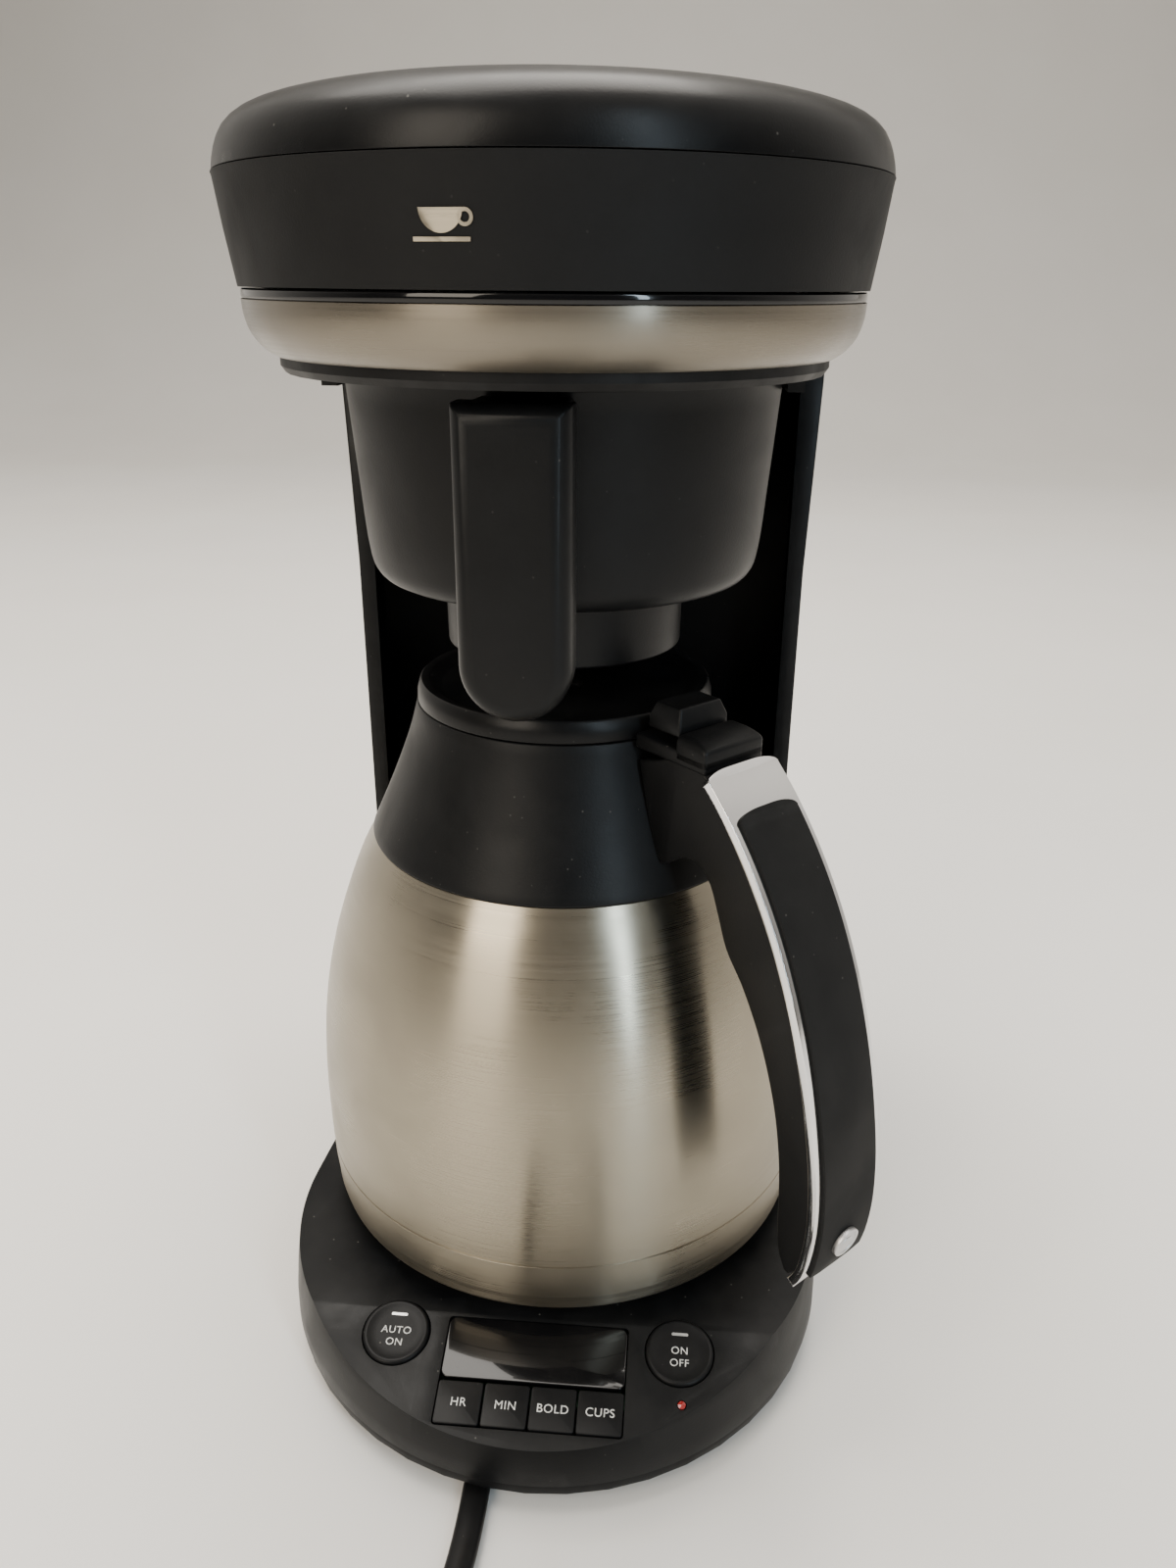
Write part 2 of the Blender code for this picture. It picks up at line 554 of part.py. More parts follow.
HANDLE_OUTER = [(64.0, 221.5), (70.0, 221.0), (75.6, 217.5), (85.6, 207.5), (95.0, 195.8),
                (104.0, 181.5), (112.0, 164.5), (118.2, 146.5), (122.6, 128.0), (125.4, 110.0),
                (125.8, 94.0), (123.4, 80.0), (119.8, 73.5)]
HANDLE_INNER = [(115.5, 77.0), (113.8, 88.0), (113.2, 100.0), (112.0, 112.0), (108.6, 128.0),
                (102.0, 145.5), (94.0, 159.5), (87.0, 168.5), (83.0, 178.0), (79.0, 186.5),
                (74.0, 190.5), (68.0, 189.5), (62.0, 184.0), (57.0, 180.0)]


def parallel(points, distance):
    """Offset an open run of points to its left by distance."""
    made = []
    for i, point in enumerate(points):
        ahead = Vector(points[min(i + 1, len(points) - 1)])
        behind = Vector(points[max(i - 1, 0)])
        along = (ahead - behind).normalized()
        made.append((point[0] - along.y * distance, point[1] + along.x * distance))
    return made


def band(points, near, far):
    """Closed outline between two parallels of a run of points."""
    return parallel(points, near) + parallel(points, far)[::-1]


def build_carafe_handle():
    core = [(48.0, 205.0), (48.0, 214.5), (60.0, 218.2)] + HANDLE_OUTER + HANDLE_INNER + [(50.0, 190.0)]
    grip = piece("carafe_handle", upright_plate(core, 11.0, HANDLE_TURN), SOFT_BLACK)
    cone = [(0, 226.0), (47.4, 226.0), (47.4, 219.0), (50.0, 209.5), (53.6, 199.5), (57.9, 189.0),
            (64.0, 174.8), (67.0, 169.0), (0, 169.0)]
    combine(grip, cutter(turned(cone, centre=POUR)))
    arc = HANDLE_OUTER[2:]
    trim = piece("handle_trim", upright_plate(band(arc, GAP, 3.2), 13.6, HANDLE_TURN), CHROME)
    inset = arc[1:-1]
    combine(trim, cutter(upright_plate(band(inset, 1.5, 5.0), 9.4, HANDLE_TURN)))
    inset[0] = Vector(inset[0]).lerp(Vector(inset[1]), 0.06)
    inset[-1] = Vector(inset[-1]).lerp(Vector(inset[-2]), 0.06)
    piece("handle_grip", upright_plate(band(inset, 1.8, 3.6), 9.1, HANDLE_TURN), RUBBER)
    lever_frame = handle_frame(HANDLE_TURN)
    pad = lofted([[(50.5, -9.5, 226.6), (63.5, -9.5, 223.0), (63.5, 9.5, 223.0), (50.5, 9.5, 226.6)],
                  [(52.0, -7.5, 232.6), (61.6, -7.5, 232.6), (61.6, 7.5, 232.6), (52.0, 7.5, 232.6)]])
    lever = piece("thumb_lever", moved(pad, lever_frame), SOFT_BLACK, (0, 0, 0))
    combine(lever, cutter(moved(block((61.0, -6.0, 222.2), (70.0, 6.0, 226.6)), lever_frame)), "UNION")
    hole = upright_plate(circle(LEVER_HOLE_R, *LEVER_PIN_AT, 12), 9.0, HANDLE_TURN)
    combine(lever, cutter(hole))
    piece("lever_pin", upright_plate(circle(LEVER_PIN_R, *LEVER_PIN_AT, 12), 9.0, HANDLE_TURN), STEEL)
    for side in (-1, 1):
        low, high = sorted((side * 6.4, side * 8.6))
        cheek = upright_plate([(63.5, 218.0), (72.5, 216.0), (72.5, 225.4), (69.5, 227.0), (66.0, 227.0)],
                              high, HANDLE_TURN, low)
        combine(grip, cutter(cheek), "UNION")
    combine(grip, cutter(upright_plate(circle(LEVER_HOLE_R, *LEVER_PIN_AT, 12), 9.5, HANDLE_TURN)))
    disc = prism(circle(4.6, 0, 0, 28), 0.0, 1.0)
    (out_high, high), (out_low, low) = HANDLE_OUTER[-3:-1]
    lean = math.atan2(out_high - out_low, high - low)
    seat = handle_frame(HANDLE_TURN) @ Matrix.Translation((BADGE_AT[0], 0, BADGE_AT[1]))
    turn = Matrix.Rotation(math.pi / 2 + lean, 4, "Y")
    piece("medallion", moved(disc, seat @ turn), STEEL)


# ------------------------------------------------------------------ the cord

RELIEF_START = (-22.0, 97.0, 12.4)
RELIEF_LENGTH = 25.0
RELIEF_DROOP = math.radians(16.0)
CORD_ROUTE = [(-22, 72.6, 5.4), (-21.9, 62, 3.5), (-21.6, 50, CORD_Z), (-20.4, 20, CORD_Z),
              (-18, -20, CORD_Z), (-16, -60, CORD_Z), (-15.2, -92, CORD_Z), (-15.9, -116, CORD_Z),
              (-18.2, -134, CORD_Z), (-21.4, -151.5, CORD_Z)]
COIL_CENTRE = (22.0, -176.0)
COIL_INNER = 37.5
COIL_OUTER = 47.0
COIL_LOW = 1.3
COIL_HIGH = 9.9
PLUG_X = 40.0
PLUG_Y = -224.6
PLUG_Z = 6.0


def build_cord():
    relief = turned([(0, 0), (5.4, 0), (5.4, 2.4), (4.4, 2.8), (3.3, RELIEF_LENGTH),
                     (0, RELIEF_LENGTH)], 20)
    lean = Matrix.Rotation(math.pi / 2 + RELIEF_DROOP, 4, "X")
    piece("strain_relief", moved(relief, Matrix.Translation(RELIEF_START) @ lean), RUBBER)
    tube("power_cord", CORD_ROUTE, CORD_R, CORD_BLACK, every=6.5)
    hub = [(COIL_INNER, COIL_LOW), (COIL_OUTER, COIL_LOW), (COIL_OUTER, COIL_HIGH),
           (COIL_INNER, COIL_HIGH)]
    piece("power_cord_coil", turned(hub, 36, closed=True, centre=COIL_CENTRE), CORD_BLACK)
    x, y = COIL_CENTRE
    far, near = y + COIL_OUTER + 0.3, y + COIL_INNER - 0.3
    tie = piece("cord_tie", block((x - 2.5, near - 0.8, 0.2), (x + 2.5, far + 0.8, COIL_HIGH + 1.1)),
                RUBBER, smooth=False)
    combine(tie, cutter(block((x - 4, near, 1.0), (x + 4, far, COIL_HIGH + 0.3))))
    sections = [(0, 5.0, 3.6), (3, 5.4, 4.2), (11, 9.6, 5.6), (25, 9.6, 5.6), (27, 8.6, 4.6)]
    loops = []
    for along, half_y, half_z in sections:
        loops.append([(PLUG_X + along, PLUG_Y + a, PLUG_Z + b)
                      for a, b in rounded(half_y, half_z, half_z * 0.6, 3)])
    piece("power_plug", lofted(loops), CORD_BLACK)
    for side, half in ((-1, 3.2), (1, 4.0)):
        y = PLUG_Y + side * 6.35
        low = (PLUG_X + 27.3, y - 0.75, PLUG_Z - half)
        piece(f"plug_blade_{'narrow' if side < 0 else 'wide'}",
              block(low, (PLUG_X + 45.0, y + 0.75, PLUG_Z + half)), STEEL, smooth=False)


def clear_scene():
    for old in list(bpy.data.objects):
        bpy.data.objects.remove(old, do_unlink=True)


clear_scene()
MACHINE = empty("machine")
MACHINE.location = (-FOOTPRINT_MIDDLE[0] * MM, -FOOTPRINT_MIDDLE[1] * MM, 0)
BLACK = material("black", (0.02, 0.02, 0.02), 0.6)
SOFT_BLACK = material("soft_black_plastic", (0.018, 0.018, 0.018), 0.5)
GLOSS_BLACK = material("gloss_black_plastic", (0.01, 0.01, 0.012), 0.12)
RUBBER = material("black_rubber", (0.022, 0.022, 0.022), 0.8)
CORD_BLACK = material("cord_black", (0.012, 0.012, 0.012), 0.55)
BRUSHED = material("brushed_steel", (0.62, 0.58, 0.52), 0.3, 1.0)
STEEL = material("plain_steel", (0.6, 0.6, 0.6), 0.35, 1.0)
CHROME = material("chrome", (0.85, 0.85, 0.86), 0.06, 1.0)
ALUMINIUM = material("aluminium", (0.7, 0.7, 0.7), 0.4, 1.0)
TANK = material("smoked_plastic", (0.05, 0.05, 0.055), 0.2)
CLEAR_HOSE = material("silicone", (0.75, 0.74, 0.7), 0.4)
SCREEN = material("display_glass", (0.12, 0.14, 0.12), 0.2)
BOARD = material("circuit_board", (0.03, 0.18, 0.08), 0.5)
RED_LENS = material("red_lens", (0.15, 0.01, 0.01), 0.2)

build_base()
build_panel()
build_column()
build_heater()
build_head()
build_basket()
build_carafe()
build_cord()
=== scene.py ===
# %% [markdown]
# # A drip coffee maker, piece by piece
# The machine already exists as a plain, measured model: that is the frame.
# Each step below makes one visible piece over it, or gives a finish to a part that is right as it is.
# Blender works in metres. The numbers here are millimetres, counted from the upright line through the
# middle of the round head, because that is how a maker would measure the real machine.

# %% Load the measured frame
import math
import bmesh
import bpy
from mathutils import Matrix, Vector


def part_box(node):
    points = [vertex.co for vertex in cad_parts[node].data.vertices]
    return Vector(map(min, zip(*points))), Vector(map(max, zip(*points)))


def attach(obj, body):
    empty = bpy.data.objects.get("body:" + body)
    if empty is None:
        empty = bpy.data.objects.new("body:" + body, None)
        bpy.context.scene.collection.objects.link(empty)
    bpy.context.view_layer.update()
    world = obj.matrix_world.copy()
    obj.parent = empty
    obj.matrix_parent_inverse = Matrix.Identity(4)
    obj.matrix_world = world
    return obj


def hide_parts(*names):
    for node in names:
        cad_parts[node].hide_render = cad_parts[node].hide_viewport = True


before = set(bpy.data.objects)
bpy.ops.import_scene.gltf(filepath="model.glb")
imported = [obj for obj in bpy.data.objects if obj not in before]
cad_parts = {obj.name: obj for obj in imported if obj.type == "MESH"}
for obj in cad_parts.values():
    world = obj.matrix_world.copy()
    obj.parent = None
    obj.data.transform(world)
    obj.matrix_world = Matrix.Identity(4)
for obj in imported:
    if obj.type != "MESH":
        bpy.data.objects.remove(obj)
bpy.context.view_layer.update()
MM = 0.001
ring_low, ring_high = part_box("head_ring")
HEAD_X = (ring_low[0] + ring_high[0]) / 2
HEAD_Y = ring_low[1] + 85 * MM
steel_low, steel_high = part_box("carafe_body")
POUR = ((steel_low[0] + steel_high[0]) / 2 - HEAD_X) / MM, ((steel_low[1] + steel_high[1]) / 2 - HEAD_Y) / MM
print("the pouring line stands at", [round(v, 2) for v in POUR], "from the head's line")


def spot(x, y, z):
    """A place in Blender's metres from millimetres off the head's line."""
    return Vector((HEAD_X + x * MM, HEAD_Y + y * MM, z * MM))


# %% [markdown]
# ## The camera
# The view is from above and a little to the right, with the lens close to the machine, so the head
# looks large and the base small. A camera is a place, a heading and a lens. Its three axes are worked
# out here, because a small roll is easier to give as numbers than by turning it.

# %% Set up the camera
heading, pitch, roll = math.radians(-4.6), math.radians(23.14), math.radians(0.45)
forward = Vector((math.sin(heading) * math.cos(pitch), math.cos(heading) * math.cos(pitch),
                  -math.sin(pitch)))
level = Vector((math.cos(heading), -math.sin(heading), 0))
upward = level.cross(forward)
right = level * math.cos(roll) + upward * math.sin(roll)
upward = upward * math.cos(roll) - level * math.sin(roll)
lens = bpy.data.cameras.new("view")
lens.lens, lens.sensor_width, lens.clip_start = 27.11, 36.0, 0.01
camera = bpy.data.objects.new("view", lens)
bpy.context.scene.collection.objects.link(camera)
camera.matrix_world = (Matrix.Translation(spot(36.7, -337.7, 341.7))
                       @ Matrix((right, upward, -forward)).transposed().to_4x4())
bpy.context.scene.camera = camera
print("camera at", [round(v, 3) for v in camera.matrix_world.translation])

# %% [markdown]
# ## Tools that every piece uses
# Operators act on whatever is selected, so each job starts with nothing selected. A piece is finished
# when its object sits at the world's origin, unturned and unscaled, with its place in its mesh.


# %% Select, apply and finish
def nothing_selected():
    if bpy.context.mode != "OBJECT":
        bpy.ops.object.mode_set(mode="OBJECT")
    bpy.ops.object.select_all(action="DESELECT")


def only(thing):
    nothing_selected()
    thing.select_set(True)
    bpy.context.view_layer.objects.active = thing
    return thing


def fresh(name):
    """Names the object that an operator has just made, and puts its place in its mesh."""
    made = bpy.context.object
    made.name = made.data.name = name
    bpy.ops.object.transform_apply(location=True, rotation=True, scale=True)
    return made


def pick(test, kind="verts"):
    """In edit mode, selects only the corners, edges or faces that pass a test."""
    bpy.ops.mesh.select_all(action="DESELECT")
    bpy.ops.mesh.select_mode(type={"verts": "VERT", "edges": "EDGE", "faces": "FACE"}[kind])
    mesh = bmesh.from_edit_mesh(bpy.context.object.data)
    for item in getattr(mesh, kind):
        if test(item):
            item.select_set(True)
    mesh.select_flush_mode()
    bmesh.update_edit_mesh(bpy.context.object.data)


def modify(thing, kind, **values):
    """Adds a modifier, sets it and applies it."""
    only(thing)
    modifier = thing.modifiers.new(kind.lower(), kind)
    for key, value in values.items():
        setattr(modifier, key, value)
    bpy.ops.object.modifier_apply(modifier=modifier.name)


def close_up(thing):
    """Merges doubled corners and turns every face outwards."""
    only(thing)
    bpy.ops.object.mode_set(mode="EDIT")
    bpy.ops.mesh.select_all(action="SELECT")
    bpy.ops.mesh.remove_doubles(threshold=0.00001)
    bpy.ops.mesh.normals_make_consistent(inside=False)
    bpy.ops.object.mode_set(mode="OBJECT")


def soften(thing, width, segments=3, angle=30):
    """Rounds the sharp edges, so that they catch a line of light."""
    modify(thing, "BEVEL", width=width * MM, segments=segments, limit_method="ANGLE",
           angle_limit=math.radians(angle), use_clamp_overlap=True, miter_outer="MITER_ARC")
    bpy.ops.object.shade_smooth_by_angle(angle=math.radians(38))


def join(name, *parts):
    """Joins finished parts into one piece."""
    nothing_selected()
    for part in parts:
        part.select_set(True)
    bpy.context.view_layer.objects.active = parts[0]
    bpy.ops.object.join()
    parts[0].name = parts[0].data.name = name
    return parts[0]


def keep(thing, body, finish, slot, *nodes):
    """Gives a finished piece its body, its finish and the frame parts that it stands for."""
    nothing_selected()
    thing.data.materials.clear()
    thing.data.materials.append(finish)
    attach(thing, body)
    if nodes:
        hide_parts(*nodes)
    print(f"{thing.name}: {len(thing.data.polygons)} faces, rides on {body}")
    return thing


# %% [markdown]
# ## A flowing line
# Cords, domes and handles are smooth curves. A few measured points are joined by a centripetal
# Catmull-Rom curve, which passes through every point and does not overshoot between close ones.


# %% Read closer points from a smooth curve
def flowing(knots, every):
    knots = [Vector(knot) for knot in knots]
    knots = [2 * knots[0] - knots[1]] + knots + [2 * knots[-1] - knots[-2]]
    points = []
    for a, b, c, d in zip(knots, knots[1:], knots[2:], knots[3:]):
        t1 = (b - a).length ** 0.5
        t2 = t1 + (c - b).length ** 0.5
        t3 = t2 + (d - c).length ** 0.5
        steps = max(1, round((c - b).length / every))
        for i in range(steps):
            t = t1 + (t2 - t1) * i / steps
            p, q = a.lerp(b, t / t1), b.lerp(c, (t - t1) / (t2 - t1))
            r = c.lerp(d, (t - t2) / (t3 - t2))
            points.append(p.lerp(q, t / t2).lerp(q.lerp(r, (t - t1) / (t3 - t1)), (t - t1) / (t2 - t1)))
    return points + [knots[-2]]


print("a curve through three points has", len(flowing([(0, 0, 0), (10, 0, 0), (10, 10, 0)], 2)), "points")

# %% [markdown]
# ## Effects that several finishes share
# Moulded plastic has a fine spark-eroded grain. Use rubs its raised edges shiny, and dust settles on
# what faces up. Each effect is a node group that gives out only a mask or a height, and each finish
# below puts it in with its own values.


# %% Helpers for node trees
def group(name, inputs, outputs):
    made = bpy.data.node_groups.new(name, "ShaderNodeTree")
    for label, value in inputs.items():
        made.interface.new_socket(label, in_out="INPUT", socket_type="NodeSocketFloat").default_value = value
    for label in outputs:
        made.interface.new_socket(label, in_out="OUTPUT", socket_type="NodeSocketFloat")
    return made, made.nodes.new("NodeGroupInput"), made.nodes.new("NodeGroupOutput")


def node(tree, kind, values=None, **settings):
    """Adds a node, sets its options and puts numbers or links into its inputs."""
    made = tree.nodes.new("ShaderNode" + kind)
    for key, value in settings.items():
        setattr(made, key, value)
    for key, value in (values or {}).items():
        if isinstance(value, bpy.types.NodeSocket):
            tree.links.new(value, made.inputs[key])
        else:
            made.inputs[key].default_value = value
    return made


def on_object(tree):
    """Coordinates that move with the piece."""
    return node(tree, "TexCoord").outputs["Object"]


def spread(tree, value, low, high, to_low=0.0, to_high=1.0):
    """Stretches the part of a value between low and high over a new range."""
    return node(tree, "MapRange", {0: value, 1: low, 2: high, 3: to_low, 4: to_high}).outputs[0]


# %% Grain, edge wear, dust, smudges and brushing
grain, given, gives = group("moulded_grain", {"Scale": 1500.0}, ["Height", "Tone"])
place = on_object(grain)
fine = node(grain, "TexNoise", {"Vector": place, "Scale": given.outputs["Scale"], "Detail": 2.0})
coarse = node(grain, "TexNoise", {"Vector": place, "Scale": 90.0, "Detail": 4.0})
grain.links.new(fine.outputs[0], gives.inputs["Height"])
grain.links.new(spread(grain, coarse.outputs[0], 0.3, 0.7), gives.inputs["Tone"])

wear, given, gives = group("edge_wear", {"Amount": 0.5}, ["Mask"])
raised = spread(wear, node(wear, "NewGeometry").outputs["Pointiness"], 0.515, 0.56)
patchy = node(wear, "TexNoise", {"Vector": on_object(wear), "Scale": 160.0, "Detail": 5.0})
worn = node(wear, "Math", {0: raised, 1: spread(wear, patchy.outputs[0], 0.35, 0.65)}, operation="MULTIPLY")
worn = node(wear, "Math", {0: worn.outputs[0], 1: given.outputs["Amount"]}, operation="MULTIPLY")
wear.links.new(worn.outputs[0], gives.inputs["Mask"])

dust, given, gives = group("settled_dust", {"Amount": 0.5}, ["Mask"])
place = on_object(dust)
facing = node(dust, "SeparateXYZ", {0: node(dust, "NewGeometry").outputs["Normal"]}).outputs["Z"]
specks = node(dust, "TexVoronoi", {"Vector": place, "Scale": 260.0, "Randomness": 1.0})
speck = spread(dust, specks.outputs["Distance"], 0.085, 0.05)
rare = node(dust, "TexNoise", {"Vector": place, "Scale": 190.0, "Detail": 1.0})
speck = node(dust, "Math", {0: speck, 1: spread(dust, rare.outputs[0], 0.52, 0.58)}, operation="MULTIPLY")
film = node(dust, "TexNoise", {"Vector": place, "Scale": 35.0, "Detail": 6.0, "Roughness": 0.65})
film = spread(dust, film.outputs[0], 0.4, 0.75, 0.0, 0.07)
both = node(dust, "Math", {0: speck.outputs[0], 1: film}, operation="ADD")
upward_share = spread(dust, facing, -0.1, 0.9, 0.12, 1.0)
both = node(dust, "Math", {0: both.outputs[0], 1: upward_share}, operation="MULTIPLY")
both = node(dust, "Math", {0: both.outputs[0], 1: given.outputs["Amount"]}, operation="MULTIPLY")
dust.links.new(both.outputs[0], gives.inputs["Mask"])

smudge, given, gives = group("finger_smudges", {"Scale": 30.0}, ["Mask"])
place = on_object(smudge)
cloud = node(smudge, "TexNoise", {"Vector": place, "Scale": given.outputs["Scale"], "Detail": 5.0,
                                  "Distortion": 0.8})
smudge.links.new(spread(smudge, cloud.outputs[0], 0.38, 0.68), gives.inputs["Mask"])

brush, given, gives = group("brushed_around", {"Across": 2600.0, "Along": 14.0}, ["Height", "Tone"])
place = node(brush, "SeparateXYZ", {0: on_object(brush)})
parts = [node(brush, "Math", {0: place.outputs[i], 1: given.outputs[key]}, operation="MULTIPLY").outputs[0]
         for i, key in enumerate(("Along", "Along", "Across"))]
lines = node(brush, "CombineXYZ", dict(enumerate(parts)))
scratch = node(brush, "TexNoise", {"Vector": lines.outputs[0], "Scale": 1.0, "Detail": 4.0,
                                   "Roughness": 0.7})
brush.links.new(scratch.outputs[0], gives.inputs["Height"])
brush.links.new(spread(brush, scratch.outputs[0], 0.3, 0.7), gives.inputs["Tone"])
print("effects:", [g.name for g in bpy.data.node_groups])


# %% [markdown]
# ## The finishes
# Most of the machine is black plastic, but no two parts have quite the same black: the lid is half
# gloss, the ring under it is matt, the trim line is polished and the grip is soft to the touch. One
# function builds a plastic from a colour, a roughness and how strongly each shared effect shows.

# %% Plastics and rubber
DUST_ON_BLACK = (0.30, 0.285, 0.26)
DUST_ON_STEEL = (0.42, 0.40, 0.37)


def effect(tree, which, **values):
    made = tree.nodes.new("ShaderNodeGroup")
    made.node_tree = which
    for key, value in values.items():
        made.inputs[key].default_value = value
    return made


def blended(tree, amount, first, second):
    """A colour that goes from first to second as amount goes from 0 to 1."""
    made = node(tree, "Mix", {0: amount}, data_type="RGBA")
    for slot, colour in ((6, first), (7, second)):
        if isinstance(colour, bpy.types.NodeSocket):
            tree.links.new(colour, made.inputs[slot])
        else:
            made.inputs[slot].default_value = (*colour, 1.0)
    return made.outputs[2]


def bare(name, colour, roughness, metallic=0.0, **constants):
    """A new material with plain values on its shader's own sockets."""
    made = bpy.data.materials.new(name)
    made.use_nodes = True
    shader = made.node_tree.nodes["Principled BSDF"]
    shader.inputs["Base Color"].default_value = (*colour, 1.0)
    shader.inputs["Roughness"].default_value = roughness
    shader.inputs["Metallic"].default_value = metallic
    for key, value in constants.items():
        shader.inputs[key.replace("_", " ")].default_value = value
    return made, made.node_tree, shader


def plastic(name, colour, roughness, grain_size=1500.0, depth=0.05, dusty=0.3, worn=0.3, **constants):
    made, tree, shader = bare(name, colour, roughness, **({"Specular_IOR_Level": 0.15} | constants))
    skin = effect(tree, grain, Scale=grain_size)
    rub = effect(tree, wear, Amount=worn)
    settled = effect(tree, dust, Amount=dusty)
    darker = [c * 0.82 for c in colour]
    tone = blended(tree, skin.outputs["Tone"], darker, colour)
    tone = blended(tree, rub.outputs["Mask"], tone, [c * 2.0 + 0.004 for c in colour])
    tone = blended(tree, settled.outputs["Mask"], tone, DUST_ON_BLACK)
    tree.links.new(tone, shader.inputs["Base Color"])
    marks = effect(tree, smudge, Scale=28.0)
    rough = spread(tree, marks.outputs["Mask"], 0.0, 1.0, roughness * 0.9, min(roughness * 1.18, 0.95))
    rough = node(tree, "Math", {0: rough, 1: settled.outputs["Mask"]}, operation="ADD")
    shine = node(tree, "Math", {0: rub.outputs["Mask"], 1: 0.25}, operation="MULTIPLY")
    rough = node(tree, "Math", {0: rough.outputs[0], 1: shine.outputs[0]}, operation="SUBTRACT",
                 use_clamp=True)
    tree.links.new(rough.outputs[0], shader.inputs["Roughness"])
    bump = node(tree, "Bump", {"Height": skin.outputs["Height"], "Strength": 0.6, "Distance": depth * MM})
    tree.links.new(bump.outputs[0], shader.inputs["Normal"])
    return made


satin_black = plastic("satin_black_plastic", (0.0040, 0.0043, 0.0048), 0.40)
matt_black = plastic("matt_black_plastic", (0.0052, 0.0054, 0.0058), 0.54, 1800, 0.06)
lid_black = plastic("lid_black_plastic", (0.0036, 0.0037, 0.0041), 0.32, 2000, 0.03, dusty=0.35)
key_black = plastic("key_black_plastic", (0.0040, 0.0042, 0.0048), 0.40, 2400, 0.03)
inner_black = plastic("inner_black_plastic", (0.0038, 0.0038, 0.0040), 0.5, 1200, 0.04, dusty=0.15)
gloss_black = plastic("gloss_black_plastic", (0.0035, 0.0035, 0.0040), 0.11, 300, 0.004, worn=0.1,
                      Coat_Weight=0.4)
grip_black = plastic("soft_grip_rubber", (0.0075, 0.0075, 0.0076), 0.66, 2600, 0.05, Sheen_Weight=0.02)
black_rubber = plastic("black_rubber", (0.0070, 0.0070, 0.0070), 0.76, 900, 0.08, dusty=0.6)
lead_black = plastic("lead_black_vinyl", (0.0042, 0.0042, 0.0046), 0.36, 700, 0.03)
print("plastics:", [m.name for m in bpy.data.materials if "black" in m.name])

# %% [markdown]
# ## The metals
# The flask and the bowl over it are stainless steel brushed round and round. Fine grooves that run
# round a wall smear each reflection up and down it, which is why such a wall shows tall soft streaks.
# The handle's edge is polished chrome with fingerprints on it.


# %% Brushed steel, plain steel and chrome
def metal(name, colour, roughness, groove, across, along, patina, **constants):
    made, tree, shader = bare(name, colour, roughness, 1.0, **constants)
    grooves = effect(tree, brush, Across=across, Along=along)
    marks = effect(tree, smudge, Scale=24.0)
    tone = blended(tree, grooves.outputs["Tone"], [c * 0.93 for c in colour], colour)
    tone = blended(tree, marks.outputs["Mask"], tone, [c * patina for c in colour])
    settled = effect(tree, dust, Amount=0.35)
    tone = blended(tree, settled.outputs["Mask"], tone, DUST_ON_STEEL)
    tree.links.new(tone, shader.inputs["Base Color"])
    rough = spread(tree, grooves.outputs["Tone"], 0.0, 1.0, roughness * 0.85, roughness * 1.15)
    dull = spread(tree, marks.outputs["Mask"], 0.0, 1.0, 0.0, 0.07)
    rough = node(tree, "Math", {0: rough, 1: dull}, operation="ADD", use_clamp=True)
    tree.links.new(rough.outputs[0], shader.inputs["Roughness"])
    bump = node(tree, "Bump", {"Height": grooves.outputs["Height"], "Strength": 0.5,
                               "Distance": groove * MM})
    tree.links.new(bump.outputs[0], shader.inputs["Normal"])
    if "Anisotropic" in constants:
        around = node(tree, "Tangent", direction_type="RADIAL", axis="Z")
        tree.links.new(around.outputs[0], shader.inputs["Tangent"])
    return made


brushed_steel = metal("brushed_steel", (0.34, 0.305, 0.24), 0.28, 0.0007, 2200, 4, 0.93, Anisotropic=0.85,
                      Anisotropic_Rotation=0.25)
# Painted shade: the bowl is the flask's brushed steel with its colour darkened to a little over half, for
# the shade under the head.
shaded_bowl_steel = metal("shaded_bowl_steel", (0.19, 0.17, 0.138), 0.28, 0.0007, 2200, 4, 0.93, Anisotropic=0.8,
                   Anisotropic_Rotation=0.25)
plain_steel = metal("plain_steel", (0.58, 0.58, 0.58), 0.32, 0.006, 400, 400, 0.9)
chrome = metal("polished_chrome", (0.78, 0.78, 0.79), 0.07, 0.0015, 120, 120, 0.94)
aluminium = metal("cast_aluminium", (0.62, 0.62, 0.63), 0.42, 0.05, 500, 500, 0.85)
print("metals:", brushed_steel.name, plain_steel.name, chrome.name, aluminium.name)

# %% [markdown]
# ## The mains lead
# The lead is a flat twin: two round cores side by side in one black skin. It comes out under the back
# of the base through a rubber boot, runs under the machine and out at the front, and the rest of its
# length is wound in two layers just past the front, held by a tie, with the plug beside it. A curve
# with a drawn cross-section keeps the lead flat, and it is then made a mesh.

# %% The lead's path
route = [(-22, 72.6, 5.4), (-21.9, 62, 3.5), (-21.6, 50, 2.8), (-20.4, 20, 2.8), (-18, -20, 2.8),
         (-16, -60, 2.8), (-15.2, -92, 2.8), (-15.9, -116, 2.8), (-18.2, -134, 2.9), (-20.6, -151.5, 3.1),
         (-20.9, -164, 3.3)]
COIL_X, COIL_Y, COIL_R = 22.0, -176.0, 42.2
CORE_OUT, CORE_R = 2.15, 2.05   # the two cores' distance from the middle, and their radius
LAYER = 4.2                     # how much higher the second layer of the coil lies


def coil_height(turn):
    """The first turn lies on the table, the second on the first, and the end crosses over both."""
    if turn < 640:
        return 3.5 + LAYER * min(max((turn - 462) / 78, 0), 1)
    return 3.5 + LAYER + LAYER * min(max((turn - 826) / 68, 0), 1)


